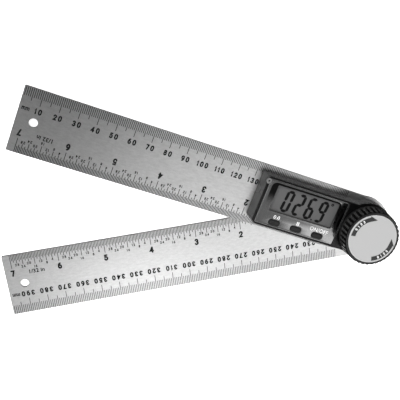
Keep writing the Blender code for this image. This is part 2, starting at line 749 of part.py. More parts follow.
def make_cell_and_contacts():
    """The coin cell and the two sheet contacts that touch it."""
    profile = [(cell_radius - cell_edge, cell_bottom), (cell_radius, cell_bottom + cell_edge),
               (cell_radius, cell_top - 2 * cell_edge), (cell_radius - 2 * cell_edge, cell_top)]
    finish("coin_cell", turned(profile, centre=(cell_x, cell_y)), bright_steel)
    leaf = centred(cell_x, cell_y, negative_contact_length, negative_contact_width)
    finish("negative_contact", prism(leaf, contact_bottom, contact_top), brass)
    inner = cell_x - cell_radius - seat_gap
    outer = inner - positive_contact_sheet
    half = positive_contact_width / 2
    foot = rectangle(inner - positive_contact_foot, inner, cell_y - half, cell_y + half)
    clip = finish("positive_contact", prism(foot, contact_bottom, contact_top), brass)
    leg = rectangle(outer, inner, cell_y - half, cell_y + half)
    leg_bottom = cell_bottom + tray_plate + seat_gap
    combine(clip, cutter("contact_leg_tool", prism(leg, leg_bottom, contact_top)), "UNION")


def make_pivot(axis):
    """The boss on the lower arm, and what turns with it inside the head."""
    profile = [(foot_radius + foot_flare, 0.0), (foot_radius, foot_flare_height),
               (foot_radius, lower_top + seat_gap), (shoulder_radius, lower_top + seat_gap),
               (shoulder_radius, shoulder_top), (neck_radius, shoulder_top), (neck_radius, rotor_top),
               (groove_radius, rotor_top), (groove_radius, collar_bottom), (neck_radius, collar_bottom),
               (neck_radius, collar_top), (post_radius, collar_top), (post_radius, post_top - post_chamfer),
               (post_radius - post_chamfer, post_top)]
    boss = finish("pivot_boss", turned(profile), bright_steel, axis)
    for index, side in enumerate((-1, 1), 1):
        outer = side * (shoulder_radius + overrun)
        low, high = sorted((side * foot_flat, outer))
        flat = rectangle(-shoulder_radius - overrun, shoulder_radius + overrun, low, high)
        tool = prism(flat, foot_flare_height - seat_gap, lower_top + seat_gap)
        combine(boss, cutter(f"foot_flat_tool_{index}", tool, axis))
        low, high = sorted((side * neck_flat, outer))
        flat = rectangle(-shoulder_radius - overrun, shoulder_radius + overrun, low, high)
        tool = prism(flat, shoulder_top, collar_top)
        combine(boss, cutter(f"neck_flat_tool_{index}", tool, axis))
    shank_hole = prism(circle(stop_screw_shank + seat_gap, small_steps),
                       stop_head_bottom - stop_screw_length - seat_gap, post_top + overrun)
    combine(boss, cutter("stop_screw_hole_tool", shank_hole, axis))

    rotor = finish("encoder_rotor", prism(circle(rotor_radius), rotor_bottom, rotor_top), board_green, axis)
    key = prism(double_d(neck_radius + seat_gap, neck_flat + seat_gap), rotor_bottom - overrun,
                rotor_top + overrun)
    combine(rotor, cutter("rotor_key_tool", key, axis))

    start = clip_opening / 2
    end = 2 * math.pi - clip_opening / 2
    outline = circle(clip_radius, round_steps, start=start, end=end)
    outline += circle(groove_radius + seat_gap, round_steps, start=end, end=start)
    finish("retaining_clip", prism(outline, clip_bottom, clip_top), bright_steel, axis)

    head = stop_head_bottom + stop_screw_head_height
    profile = [(stop_screw_shank / 2, stop_head_bottom - stop_screw_length),
               (stop_screw_shank, stop_head_bottom - stop_screw_length + stop_screw_shank),
               (stop_screw_shank, stop_head_bottom), (stop_screw_head, stop_head_bottom),
               (stop_screw_head, head - post_chamfer), (stop_screw_head - post_chamfer, head)]
    finish("stop_screw", turned(profile, steps=small_steps), bright_steel, axis)


def make_pivot_bush():
    """The flanged bush in the upper arm's bore, in which the boss turns."""
    flange_top = head_base + bush_flange_thickness
    wide = bush_radius + bush_flange
    profile = [(bush_bore, upper_bottom), (bush_radius, upper_bottom), (bush_radius, head_base),
               (wide, head_base), (wide, flange_top), (bush_bore, flange_top)]
    finish("pivot_bush", turned(profile, closed=True), bronze)


def make_wave_spring(axis):
    """A ring of wavy sheet in the roof's pocket, which lifts the knob when it is let go."""
    spring = bmesh.new()
    loops = []
    steps = fine_steps
    for i in range(steps):
        angle = 2 * math.pi * i / steps
        wave = (1 + math.cos(spring_waves * angle)) / 2 * (spring_height - spring_sheet)
        low = spring_bottom + wave
        high = low + spring_sheet
        loop = []
        for radius, height in ((spring_inner, low), (spring_outer, low), (spring_outer, high),
                               (spring_inner, high)):
            loop.append(spring.verts.new((radius * math.cos(angle), radius * math.sin(angle), height)))
        loops.append(loop)
    for i in range(steps):
        this, following = loops[i], loops[(i + 1) % steps]
        for j in range(len(this)):
            k = (j + 1) % len(this)
            spring.faces.new((this[j], this[k], following[k], following[j]))
    finish("wave_spring", spring, bright_steel, axis)


def make_thrust_washer(axis):
    """The washer that the knob presses on the head."""
    inner = post_radius + run_gap
    profile = [(inner, washer_bottom), (washer_radius - washer_edge, washer_bottom),
               (washer_radius, washer_bottom + washer_edge), (washer_radius, washer_top - washer_edge),
               (washer_radius - washer_edge, washer_top), (inner, washer_top)]
    finish("thrust_washer", turned(profile, closed=True), bright_steel, axis)


def knob_ring(radius, depth=0.0):
    """One ring of the knob's outside, with its grip grooves sunk by a depth."""
    points = []
    for rib in range(rib_count):
        for share, sink in zip(rib_shares, rib_depth_shares):
            angle = 2 * math.pi * (rib + share) / rib_count
            reach = radius - depth * sink
            points.append((reach * math.cos(angle), reach * math.sin(angle)))
    return points


def make_knob(axis):
    """The lock knob: a moulded shell, its threaded insert and the disc on its top."""
    neck_top = knob_bottom + knob_neck_height
    groove_low = knob_bottom + groove_start
    groove_high = knob_top - groove_end
    levels = [
        (knob_ring(knob_neck_radius), knob_bottom),
        (knob_ring(knob_neck_radius), neck_top),
        (knob_ring(knob_band_radius - knob_band_edge), neck_top + 0.2 * knob_band_edge),
        (knob_ring(knob_band_radius), neck_top + knob_band_edge),
        (knob_ring(knob_band_radius), groove_low),
        (knob_ring(knob_band_radius, groove_depth), groove_low + groove_runout),
        (knob_ring(knob_radius, groove_depth), groove_high - groove_runout),
        (knob_ring(knob_radius), groove_high),
        (knob_ring(knob_radius), knob_top - knob_rim_height),
        (knob_ring(knob_rim_radius), knob_top),
    ]
    shell = finish("knob_shell", skin(levels), knob_black, axis)
    recess = prism(circle(label_radius + seat_gap, fine_steps), label_bottom - seat_gap, knob_top + overrun)
    combine(shell, cutter("label_recess_tool", recess, axis))
    wall_inside = knob_radius - groove_depth - knob_wall
    tube = insert_radius + seat_gap + knob_tube_wall
    annulus = turned([(tube, insert_bottom), (wall_inside, insert_bottom), (wall_inside, knob_ceiling),
                      (tube, knob_ceiling)], closed=True)
    combine(shell, cutter("knob_hollow_tool", annulus, axis))
    mouth = prism(circle(wall_inside), knob_bottom - overrun, insert_bottom)
    combine(shell, cutter("knob_mouth_tool", mouth, axis))
    socket = prism(circle(insert_radius + seat_gap, insert_sides), knob_bottom, knob_ceiling)
    combine(shell, cutter("insert_socket_tool", socket, axis))

    hexagon = prism(circle(insert_radius, insert_sides), insert_bottom, insert_top)
    insert = finish("knob_insert", hexagon, brass, axis)
    bore = prism(circle(post_radius + seat_gap), insert_bottom - overrun, insert_top + overrun)
    combine(insert, cutter("insert_bore_tool", bore, axis))

    disc = turned([(label_radius, label_bottom), (label_radius, knob_top - label_edge),
                   (label_radius - label_edge, knob_top)], steps=fine_steps)
    finish("knob_disc", disc, label_silver, axis)


def main():
    for item in list(bpy.data.objects):
        bpy.data.objects.remove(item, do_unlink=True)
    pivot_axis = empty("pivot_axis", (0.0, 0.0, 0.0), rest_angle)
    knob_axis = empty("knob_axis", (0.0, 0.0, 0.0), knob_rest_turn - rest_angle, pivot_axis)
    make_upper_blade()
    make_display_housing()
    make_display_panel()
    make_display_module()
    make_circuit_board()
    make_buttons()
    make_battery_tray()
    make_battery_cover()
    make_cell_and_contacts()
    make_head_screws()
    make_pivot_bush()
    make_lower_blade(pivot_axis)
    make_pivot(pivot_axis)
    make_wave_spring(pivot_axis)
    make_thrust_washer(pivot_axis)
    make_knob(knob_axis)


main()
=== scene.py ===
"""Looks of the digital angle finder: its finishes, its scales, its display and the studio round it.

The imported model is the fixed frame. Every piece here is made in place around it, in metres, with +Z up,
the pivot's axis through the origin and the upper arm along -X. Sizes are named in millimetres.
"""

import functools
import math

import bmesh
import bpy
from mathutils import Matrix, Vector


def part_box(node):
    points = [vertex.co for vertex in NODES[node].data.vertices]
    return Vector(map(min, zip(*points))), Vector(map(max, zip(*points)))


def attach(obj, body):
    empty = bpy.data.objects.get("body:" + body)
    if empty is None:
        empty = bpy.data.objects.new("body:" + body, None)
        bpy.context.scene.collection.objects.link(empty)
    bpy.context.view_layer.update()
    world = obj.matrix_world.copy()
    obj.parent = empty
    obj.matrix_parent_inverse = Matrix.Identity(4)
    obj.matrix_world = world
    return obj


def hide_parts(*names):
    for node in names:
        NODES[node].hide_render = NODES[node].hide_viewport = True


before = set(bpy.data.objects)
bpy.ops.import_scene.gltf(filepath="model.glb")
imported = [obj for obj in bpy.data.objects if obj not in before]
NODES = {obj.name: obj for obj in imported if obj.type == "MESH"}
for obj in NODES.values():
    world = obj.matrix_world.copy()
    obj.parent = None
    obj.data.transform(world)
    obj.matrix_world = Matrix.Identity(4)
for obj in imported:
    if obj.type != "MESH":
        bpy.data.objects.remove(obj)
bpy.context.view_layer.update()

bl_info = {
    "name": "Angle Finder Looks",
    "version": (1, 0, 0),
    "blender": (4, 5, 0),
    "location": "View3D > Sidebar > Angle Finder",
    "description": "Finishes, scales, display and studio for a digital angle finder with arms",
    "category": "Object",
}

MM = 0.001
INCH = 25.4


def top_of(node):
    """The height of a CAD node's top, in millimetres."""
    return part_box(node)[1].z / MM


# Arms. The straight frame is the one in which both arms lie in line and read as one rule. Each arm has its
# body, its face's height, its way from the pivot along X and its turn out of the straight frame, and then
# its ticks' finish and its printed numbers.
ARM_LENGTH = 200.0
ARM_EDGE = 17.65
LOWER_TURN = math.pi + math.radians(27.35)
ARMS = (
    ("upper_arm", top_of("upper_blade"), -1, Matrix.Identity(4), "ink", range(10, 140, 10)),
    ("lower_arm", top_of("lower_blade"), 1, Matrix.Rotation(LOWER_TURN, 4, "Z"), "faint_ink",
     range(220, 400, 10)),
)
EDGE_BREAK = 0.1
SHARP = math.radians(35)

# Printed and etched marks: how deep they sit in the surface, and how far they stand out of it.
MARK_SINK = 0.01
MARK_STAND = 0.015

# Scales: the steps that get longer ticks, in ticks, the inches that are printed, and how far in from the
# arm's edges the numbers' middles stand. The small rows are those of the odd eighths, the quarters and the
# half. The units stand at a distance from the pivot.
METRIC_STEPS = (1, 5, 10)
INCH_STEPS = (1, 2, 4, 8, 16, 32)
FIRST_INCH, LAST_INCH = 2, 7
METRIC_ROW = 11.4
INCH_ROW = 10.9
SMALL_ROWS = (6.2, 7.6, 8.7)
METRIC_UNIT_PLACE = 196.5
INCH_UNIT_PLACE = 182.9

# Head. A frame is given by its lowest and highest x and y.
PANEL_TOP = top_of("display_panel")
GLASS_TOP = top_of("lcd_glass")
WINDOW = (-58.0, -20.0, -4.65, 10.15)
WINDOW_CORNER = 0.8
BORDER = (-61.6, -18.9, -5.85, 11.25)
BORDER_CORNER = 3.0
# Heights in y, in millimetres, over which the painted shade round the window fades from black into the
# lacquer.
SHADE_FADE = (5.5, -2.5)
PANEL_ROUND = 0.35
STUD_PLACE = (-64.2, 10.75)
SEGMENTS = {"0": "abcdef", "2": "abdeg", "6": "acdefg", "9": "abcdfg"}
READING = "0269"
FIRST_DIGIT = (-49.2, 2.5)
POINT_PLACE = (-32.3, -3.35)
DEGREE_PLACE = (-23.7, 8.3)
SIGN_ROW = -7.65

# Knob.
KNOB_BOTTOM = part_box("knob_shell")[0].z / MM
KNOB_TOP = top_of("knob_shell")
DISC_FACE = 22.96
DISC_RADIUS = 13.9
RING_INSIDE = 13.5

# Back.
HEAD_SCREWS = ["head_screw_%d" % i for i in (1, 2, 3, 4)]
COVER_SCREWS = ["battery_cover_screw_%d" % i for i in (1, 2)]

# The camera's axes, fitted to the scale marks and the arms' edges.
CAMERA_RIGHT = Vector((0.9226, 0.3492, 0.1637))
CAMERA_UP = Vector((-0.2819, 0.9003, -0.3316))
CAMERA_FORWARD = Vector((0.2632, -0.2598, -0.9291))

# Nodes that come up often.
MATH = "ShaderNodeMath"
RANGE = "ShaderNodeMapRange"
VECTOR = "ShaderNodeCombineXYZ"


def linear(code):
    """The linear RGBA colour of an sRGB hex code."""
    parts = [int(code[i:i + 2], 16) / 255 for i in (1, 3, 5)]
    return tuple(p / 12.92 if p <= 0.04045 else ((p + 0.055) / 1.055) ** 2.4 for p in parts) + (1.0,)


def length(name, description, default):
    """A length setting. The default is given in millimetres and kept in metres."""
    return bpy.props.FloatProperty(name=name, description=description, default=default * MM, precision=5,
                                   subtype="DISTANCE", unit="LENGTH")


def lengths(name, description, default):
    """A row of lengths. The defaults are given in millimetres and kept in metres."""
    return bpy.props.FloatVectorProperty(name=name, description=description, size=len(default), precision=5,
                                         default=[value * MM for value in default], unit="LENGTH")


def colour(name, description, code):
    """A colour setting, from its sRGB hex code."""
    return bpy.props.FloatVectorProperty(name=name, description=description, default=linear(code), size=4,
                                         min=0.0, max=1.0, subtype="COLOR")


def number(name, description, default):
    """A plain number setting."""
    return bpy.props.FloatProperty(name=name, description=description, default=default, precision=3)


def count(name, description, default):
    """A whole number setting."""
    return bpy.props.IntProperty(name=name, description=description, default=default, min=1)


def angle(name, description, default):
    """An angle setting. The default is given in degrees and kept in radians."""
    return bpy.props.FloatProperty(name=name, description=description, default=math.radians(default),
                                   subtype="ANGLE", unit="ROTATION")


class ScaleSettings(bpy.types.PropertyGroup):
    """The marks on both arms."""

    tick_width: length("Millimetre Tick Width", "Width of one millimetre tick", 0.34)
    ticks: lengths("Millimetre Ticks", "Lengths of the ticks at each 1, 5 and 10 mm", (4.95, 6.8, 8.4))
    inch_width: length("Inch Tick Width", "Width of one tick of the inch scale", 0.36)
    inch_ticks: lengths("Inch Ticks", "Lengths of the ticks at each 1/32, 1/16, 1/8, 1/4, 1/2 and 1 inch",
                        (3.4, 4.4, 5.2, 6.3, 7.1, 7.8))
    inch_zero: length("Inch Zero", "Distance from the pivot to the zero of the inch scale", 18.0)
    last_tick: length("Last Tick", "Distance from the pivot to the millimetre scale's last tick", 15.0)
    number_height: length("Millimetre Number", "Height of the millimetre numbers", 3.15)
    inch_number_height: length("Inch Number", "Height of the inch numbers", 3.8)
    small_number_height: length("Small Number", "Height of the 1/32 inch numbers", 1.55)
    ink: colour("Mark Colour", "Colour of the etched and filled marks", "#161616")
    faint_ink: colour("Faint Mark Colour", "Colour of the lower arm's ticks, which are etched less deep",
                      "#404040")


class HeadSettings(bpy.types.PropertyGroup):
    """The display head."""

    digit_height: length("Digit Height", "Height of the display's digits", 12.95)
    digit_width: length("Digit Width", "Width of the display's digits", 4.95)
    digit_stroke: length("Segment Width", "Width of one segment of a digit", 1.6)
    digit_pitch: length("Digit Pitch", "Distance from one digit to the next", 7.0)
    digit_slant: angle("Digit Slant", "Slant of the digits", 4.5)
    legend_height: length("Legend Height", "Height of the signs over the buttons", 2.2)
    button_crown: length("Button Rounding", "Rounding of the buttons' top edge", 0.55)
    display_grey: colour("Display", "Colour of the display's polariser", "#585858")
    segment_black: colour("Segments", "Colour of the dark segments", "#060606")
    legend_white: colour("Legends", "Colour of the printed legends", "#f2f2f2")


class KnobSettings(bpy.types.PropertyGroup):
    """The lock knob."""

    grooves: count("Grooves", "Number of grip grooves round the knob", 36)
    groove_depth: length("Groove Depth", "Depth of the grip grooves", 0.9)
    groove_low: length("Groove Bottom", "Height where the grooves begin", 15.6)
    groove_high: length("Groove Top", "Height where the grooves end", 22.8)
    groove_runout: length("Groove Runout", "Height over which a groove runs out", 0.7)
    groove_steps: count("Steps for Each Groove", "Faces round the knob for each groove", 20)
    arrow_inside: length("Arrow Inner Radius", "Inner radius of the arrows' band", 10.45)
    arrow_outside: length("Arrow Outer Radius", "Outer radius of the arrows' band", 12.95)
    disc_colour: colour("Disc", "Colour of the knob's foil disc", "#bbbbbb")
    arrow_colour: colour("Arrows", "Colour of the printed arrows", "#222222")


class StudioSettings(bpy.types.PropertyGroup):
    """Camera, floor and lights."""

    camera_place: bpy.props.FloatVectorProperty(
        name="Camera Place", description="Where the camera stands", default=(-0.2024, 0.0938, 0.3849),
        subtype="TRANSLATION", unit="LENGTH", precision=4)
    lens: number("Lens", "Focal length in millimetres on a 36 mm sensor", 67.914)
    sky: number("Room Light", "Strength of the even light from the room", 0.03)
    wall: number("Room Wall", "Brightness of the pale wall round the table", 1.05)
    light: number("Softboxes", "Strength of all softboxes together", 1.03)
    table: number("Table Glow", "Light that comes up through the table", 0.8)
    floor: colour("Table", "Colour of the table", "#f6f6f6")


def settings(name):
    """One of this add-on's settings groups."""
    return getattr(bpy.context.scene, "angle_finder_" + name)


# Materials

def add_node(tree, kind, inputs=(), **properties):
    """Adds a node with its properties. Inputs go by name or in order: each is a value, a socket, or a node,
    which gives its first output."""
    node = tree.nodes.new(kind)
    for name, value in properties.items():
        setattr(node, name, value)
    for socket, value in inputs.items() if isinstance(inputs, dict) else enumerate(inputs):
        if isinstance(value, bpy.types.Node):
            value = value.outputs[0]
        if isinstance(value, bpy.types.NodeSocket):
            tree.links.new(value, node.inputs[socket])
        else:
            node.inputs[socket].default_value = value
    return node


def new_material(name, base, **sockets):
    """A material with one shader, that shader's tree, and the shader with its sockets set."""
    material = bpy.data.materials.new(name)
    material.use_nodes = True
    shader = material.node_tree.nodes["Principled BSDF"]
    shader.inputs["Base Color"].default_value = tuple(base)
    for socket, value in sockets.items():
        shader.inputs[socket.replace("_", " ")].default_value = value
    return material, material.node_tree, shader


def grain(tree, size, turn=0.0, detail=2.0, roughness=0.5):
    """A noise pattern on the object's own coordinates. The size of its grain is in millimetres."""
    size = size if isinstance(size, tuple) else (size,) * 3
    place = add_node(tree, "ShaderNodeTexCoord").outputs["Object"]
    turned = add_node(tree, "ShaderNodeMapping", {"Vector": place, "Rotation": (0, 0, turn)},
                      vector_type="TEXTURE")
    scaled = add_node(tree, "ShaderNodeMapping", {"Vector": turned, "Scale": [1 / (s * MM) for s in size]})
    return add_node(tree, "ShaderNodeTexNoise",
                    {"Vector": scaled, "Scale": 1.0, "Detail": detail, "Roughness": roughness})


def spread(tree, pattern, low, high):
    """Takes a noise pattern, which keeps mostly to its middle, to the range from low to high."""
    return add_node(tree, RANGE, (pattern, 0.3, 0.7, low, high)).outputs[0]


def vary_colour(tree, shader, pattern, dark, light):
    """Lets the colour follow a pattern, from dark to light."""
    share = spread(tree, pattern, 0.0, 1.0)
    mixer = add_node(tree, "ShaderNodeMix", {0: share, 6: dark, 7: light}, data_type="RGBA")
    tree.links.new(mixer.outputs[2], shader.inputs["Base Color"])


def vary_gloss(tree, shader, pattern, low, high):
    """Lets the roughness follow a pattern, from low to high."""
    tree.links.new(spread(tree, pattern, low, high), shader.inputs["Roughness"])


def raise_bump(tree, shader, pattern, height):
    """Gives the shader a bump that follows a pattern. Height is in millimetres."""
    bump = add_node(tree, "ShaderNodeBump", {"Strength": 1.0, "Distance": height * MM, "Height": pattern})
    tree.links.new(bump.outputs["Normal"], shader.inputs["Normal"])


def rolled_steel(name, turn):
    """Stainless spring steel, satin rolled and finely blasted: even grey sheen with a fine sparkle."""
    material, tree, shader = new_material(name, linear("#cacaca"), Metallic=1.0, Roughness=0.3)
    # Real grains are near 0.05 mm. Drawn near 0.4 mm, so that they still show from the camera.
    speckle = grain(tree, (0.5, 0.35, 0.35), turn, roughness=0.6)
    streaks = grain(tree, (14.0, 0.5, 1.0), turn)
    # The rolls leave clouds a few millimetres long.
    clouds = grain(tree, (3.0, 1.2, 1.2), turn, detail=4.0, roughness=0.7)
    mottle = add_node(tree, MATH, (speckle, 0.5, clouds), operation="MULTIPLY_ADD")
    evened = add_node(tree, MATH, (mottle, 0.25), operation="SUBTRACT")
    vary_colour(tree, shader, evened, linear("#c1c1c1"), linear("#d3d3d3"))
    both = add_node(tree, MATH, (streaks, 0.6, speckle), operation="MULTIPLY_ADD")
    vary_gloss(tree, shader, both, 0.27, 0.34)
    raise_bump(tree, shader, speckle, 0.006)
    return material


def turned_metal(name, code, roughness=0.25):
    """Turned and stamped metal: fine rings left by the tool, with a soft gloss."""
    material, tree, shader = new_material(name, linear(code), Metallic=1.0, Roughness=roughness)
    marks = grain(tree, (0.35, 0.35, 0.08))
    vary_gloss(tree, shader, marks, roughness - 0.06, roughness + 0.08)
    raise_bump(tree, shader, marks, 0.004)
    return material


def moulded_plastic(name, code, roughness, grain_size, grain_height, gloss):
    """Moulded ABS and its like: spark-eroded grain from the tool, a little uneven in gloss."""
    material, tree, shader = new_material(name, linear(code), Roughness=roughness, Specular_IOR_Level=gloss)
    vary_gloss(tree, shader, grain(tree, 6.0, detail=1.0), roughness - 0.05, roughness + 0.05)
    raise_bump(tree, shader, grain(tree, grain_size), grain_height)
    return material


def printed_ink(name, base, roughness=0.5, gloss=0.5):
    """Screen-printed or filled ink: opaque, with a cover that varies a little in gloss."""
    material, tree, shader = new_material(name, base, Roughness=roughness, Specular_IOR_Level=gloss)
    vary_gloss(tree, shader, grain(tree, 3.0), roughness * 0.9, roughness * 1.1)
    return material


def solder_mask():
    """Glass-epoxy board under green solder mask: glossy, with the weave just showing."""
    material, tree, shader = new_material("green_solder_mask", linear("#1f5a3a"), Roughness=0.3)
    weave = grain(tree, 0.5, detail=1.0)
    vary_colour(tree, shader, weave, linear("#1b5236"), linear("#24653f"))
    return material


def haze(tree, shader):
    """Gives dark metallised lacquer the slight haze in its gloss."""
    vary_gloss(tree, shader, grain(tree, 9.0), 0.11, 0.15)


def mirror_lacquer():
    """ABS plate with a dark metallised lacquer: mirrors the room clearly, as smoked chrome does."""
    material, tree, shader = new_material("dark_metallised_lacquer", LACQUER, Metallic=1.0)
    haze(tree, shader)
    return material


def window_print():
    """Matt black round the window, under the lacquer, which takes over below the window's middle. The black
    is painted shade under the window's top edge.
    """
    material, tree, shader = new_material("black_painted_shade_under_lacquer", linear("#050505"), Roughness=0.4,
                                          Specular_IOR_Level=0.07)
    plate = add_node(tree, "ShaderNodeBsdfPrincipled", {"Base Color": LACQUER, "Metallic": 1.0})
    haze(tree, plate)
    place = add_node(tree, "ShaderNodeTexCoord").outputs["Object"]
    height = add_node(tree, "ShaderNodeSeparateXYZ", (place,)).outputs["Y"]
    share = add_node(tree, RANGE, (height, SHADE_FADE[0] * MM, SHADE_FADE[1] * MM), interpolation_type="SMOOTHSTEP")
    both = add_node(tree, "ShaderNodeMixShader", (share, shader, plate))
    tree.links.new(both.outputs[0], tree.nodes["Material Output"].inputs["Surface"])
    return material


def polariser(base):
    """Reflective display under a matte polarising film: flat mid-grey with a faint bloom."""
    material, tree, shader = new_material("matte_polariser_film", base, Roughness=0.45)
    dark, light = ([c * share for c in base] for share in (0.94, 1.06))
    vary_colour(tree, shader, grain(tree, 0.4), dark, light)
    return material


def foil(name, base):
    """Satin aluminium-look foil: pale, nearly matte, with a fine even grain."""
    material, tree, shader = new_material(name, base, Roughness=0.45)
    vary_gloss(tree, shader, grain(tree, 0.5), 0.4, 0.5)
    return material


WHITE = (1.0, 1.0, 1.0, 1.0)
LACQUER = linear("#626262")
MATERIALS = {}

# Moulded finishes: name, colour, roughness, size and height of the grain in millimetres, and gloss.
MOULDED = {
    "housing": ("moulded_abs_black", "#0b0b0b", 0.26, 0.3, 0.003, 0.2),
    # The walls' lighter grey is painted light: the same black plastic as the top, made lighter where light
    # falls from the side.
    "wall": ("moulded_abs_grained_wall_painted_light", "#363636", 0.25, 0.3, 0.003, 0.5),
    "knob": ("moulded_abs_knob", "#121212", 0.3, 0.3, 0.004, 0.45),
    # The ridges' lighter grey is a painted highlight on the knob's ribs.
    "ridge": ("moulded_abs_ridge_painted_highlight", "#262626", 0.22, 0.3, 0.002, 0.8),
    # The grooves' near black is painted shade in the slots and under the grip.
    "groove": ("moulded_abs_spark_eroded_painted_shade", "#030303", 0.7, 0.2, 0.01, 0.1),
    # The stud's grey is a painted highlight at the housing's corner.
    "stud": ("moulded_abs_grey_painted_highlight", "#6e6e6e", 0.4, 0.25, 0.004, 0.5),
    "tray": ("moulded_abs_grained", "#1e1e1e", 0.5, 0.35, 0.012, 0.5),
    "frame": ("moulded_polycarbonate_white", "#e4e4e0", 0.45, 0.25, 0.006, 0.5),
    "button": ("moulded_silicone_rubber", "#1a1a1a", 0.55, 0.2, 0.006, 0.3),
    "rubber": ("conductive_rubber", "#5a5a5a", 0.7, 0.2, 0.006, 0.5),
    "chip": ("epoxy_moulding_compound", "#1a1a1c", 0.55, 0.15, 0.004, 0.5),
}


def make_materials():
    """Makes every finish once, by the name of what it is."""
    scale, head, knob = settings("scale"), settings("head"), settings("knob")
    for key, values in MOULDED.items():
        MATERIALS[key] = moulded_plastic(*values)
    MATERIALS.update({
        "steel_upper": rolled_steel("rolled_steel_upper_arm", 0.0),
        "steel_lower": rolled_steel("rolled_steel_lower_arm", LOWER_TURN),
        "bright_steel": turned_metal("turned_steel", "#c9c9c9"),
        "brass": turned_metal("turned_brass", "#c8a45a"),
        "bronze": turned_metal("sintered_bronze", "#9c7550", 0.4),
        "board": solder_mask(),
        "panel": mirror_lacquer(),
        "border": window_print(),
        "black_print": printed_ink("matt_black_print", linear("#090909"), 0.4, 0.2),
        # The panel's rim takes a flat grey: a painted highlight along its edges and round the button holes.
        "rim": foil("grey_edge_painted_highlight", linear("#646464")),
        "display": polariser(head.display_grey),
        "segments": printed_ink("liquid_crystal_dark", head.segment_black, 0.6, 0.1),
        "legend": printed_ink("screen_print_white", head.legend_white),
        "ink": printed_ink("etch_fill_black", scale.ink, 0.6, 0.2),
        "faint_ink": printed_ink("etch_fill_worn_grey", scale.faint_ink, 0.6, 0.2),
        "disc": foil("satin_foil_label", knob.disc_colour),
        # The rim's paler foil is a painted highlight on the disc's bevelled edge.
        "disc_rim": foil("embossed_foil_rim_painted_highlight", linear("#cfcfcf")),
        "arrow": printed_ink("screen_print_grey", knob.arrow_colour),
    })


# Mesh helpers

def meshed(name, bm):
    """The mesh of a bmesh, which is freed."""
    mesh = bpy.data.meshes.new(name)
    bm.to_mesh(mesh)
    bm.free()
    return mesh


def evaluated(obj):
    """The plain mesh that an object's modifiers make."""
    graph = bpy.context.evaluated_depsgraph_get()
    return bpy.data.meshes.new_from_object(obj.evaluated_get(graph))


def placed(name, data):
    """An object at the origin, in the scene."""
    obj = bpy.data.objects.new(name, data)
    bpy.context.scene.collection.objects.link(obj)
    return obj


def piece(name, bm, materials, body, replaces=(), smooth=35.0):
    """Finishes a piece. It rides on a body, and stands for the CAD nodes that it replaces."""
    mesh = meshed(name, bm)
    if not mesh.polygons:
        raise RuntimeError(name + " has no faces")
    for key in materials if isinstance(materials, list) else [materials]:
        mesh.materials.append(MATERIALS[key])
    mesh.polygons.foreach_set("use_smooth", [True] * len(mesh.polygons))
    mesh.set_sharp_from_angle(angle=math.radians(smooth))
    obj = placed(name, mesh)
    flatten_shading(obj)
    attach(obj, body)
    if replaces:
        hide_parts(*replaces)


def flatten_shading(obj):
    """Weights the normals by face area, so that a large flat face shades flat beside its rounded edge."""
    weigher = obj.modifiers.new("weigh", "WEIGHTED_NORMAL")
    weigher.mode = "FACE_AREA"
    weigher.weight = 100
    weigher.keep_sharp = True
    plain = evaluated(obj)
    obj.modifiers.remove(weigher)
    old = obj.data
    obj.data = plain
    plain.name = obj.name
    bpy.data.meshes.remove(old)


def copied(node):
    """A CAD node's mesh with its loose triangles joined and its flat faces merged."""
    bm = bmesh.new()
    bm.from_mesh(NODES[node].data)
    bmesh.ops.remove_doubles(bm, verts=bm.verts, dist=0.002 * MM)
    bmesh.ops.dissolve_limit(bm, angle_limit=math.radians(1), verts=bm.verts, edges=bm.edges)
    for face in bm.faces:
        face.material_index = 0
    return bm


def soften(bm, width, segments=2, choose=None):
    """Rounds the sharp edges that choose() names, or all of them. Width is in millimetres."""
    edges = [e for e in bm.edges
             if len(e.link_faces) == 2 and e.calc_face_angle() > SHARP and (choose is None or choose(e))]
    bmesh.ops.bevel(bm, geom=edges, offset=width * MM, offset_type="OFFSET", segments=segments, profile=0.5,
                    affect="EDGES", clamp_overlap=False)


def at_height(z):
    """A rule for soften(): the edge lies at a height, in millimetres."""
    return lambda edge: all(abs(v.co.z / MM - z) < 0.02 for v in edge.verts)


def dress(node, name, finish, body, width, segments=2, choose=None):
    """Makes a piece of a CAD node with its sharp edges rounded, and lets it stand for the node."""
    bm = copied(node)
    soften(bm, width, segments, choose)
    piece(name, bm, finish, body, [node])


def outline_verts(bm, points, z):
    """Adds the vertices of a closed outline at a height, in millimetres."""
    return [bm.verts.new((x * MM, y * MM, z * MM)) for x, y in points]


def bridge(bm, low, high):
    """Joins two outlines of the same count with a band of faces."""
    for i in range(len(low)):
        j = (i + 1) % len(low)
        bm.faces.new((low[i], low[j], high[j], high[i]))


def polar(radius, degrees):
    """The point at a distance and in a direction from the origin."""
    return radius * math.cos(math.radians(degrees)), radius * math.sin(math.radians(degrees))


def arc(cx, cy, rx, ry, start, end, steps=14):
    """Points along an arc, from one angle in degrees to another."""
    turns = [math.radians(start + (end - start) * i / steps) for i in range(steps + 1)]
    return [(cx + rx * math.cos(a), cy + ry * math.sin(a)) for a in turns]


def rounded_rectangle(x0, x1, y0, y1, radius, steps=6):
    """The outline of a rectangle with round corners, anticlockwise."""
    points = []
    for cx, cy, start in ((x1 - radius, y0 + radius, -90), (x1 - radius, y1 - radius, 0),
                          (x0 + radius, y1 - radius, 90), (x0 + radius, y0 + radius, 180)):
        points += arc(cx, cy, radius, radius, start, start + 90, steps)
    return points


def circle(radius, steps):
    """The outline of a circle round the origin, anticlockwise."""
    return [polar(radius, 360 * i / steps) for i in range(steps)]


def outline_print(loops):
    """A closed mesh one unit thick from flat outlines. A loop inside another is a hole."""
    curve = bpy.data.curves.new("outline", "CURVE")
    curve.dimensions = "2D"
    curve.fill_mode = "BOTH"
    curve.extrude = 0.5
    for points in loops:
        spline = curve.splines.new("POLY")
        spline.points.add(len(points) - 1)
        for point, (x, y) in zip(spline.points, points):
            point.co = (x, y, 0.0, 1.0)
        spline.use_cyclic_u = True
    return taken(curve)


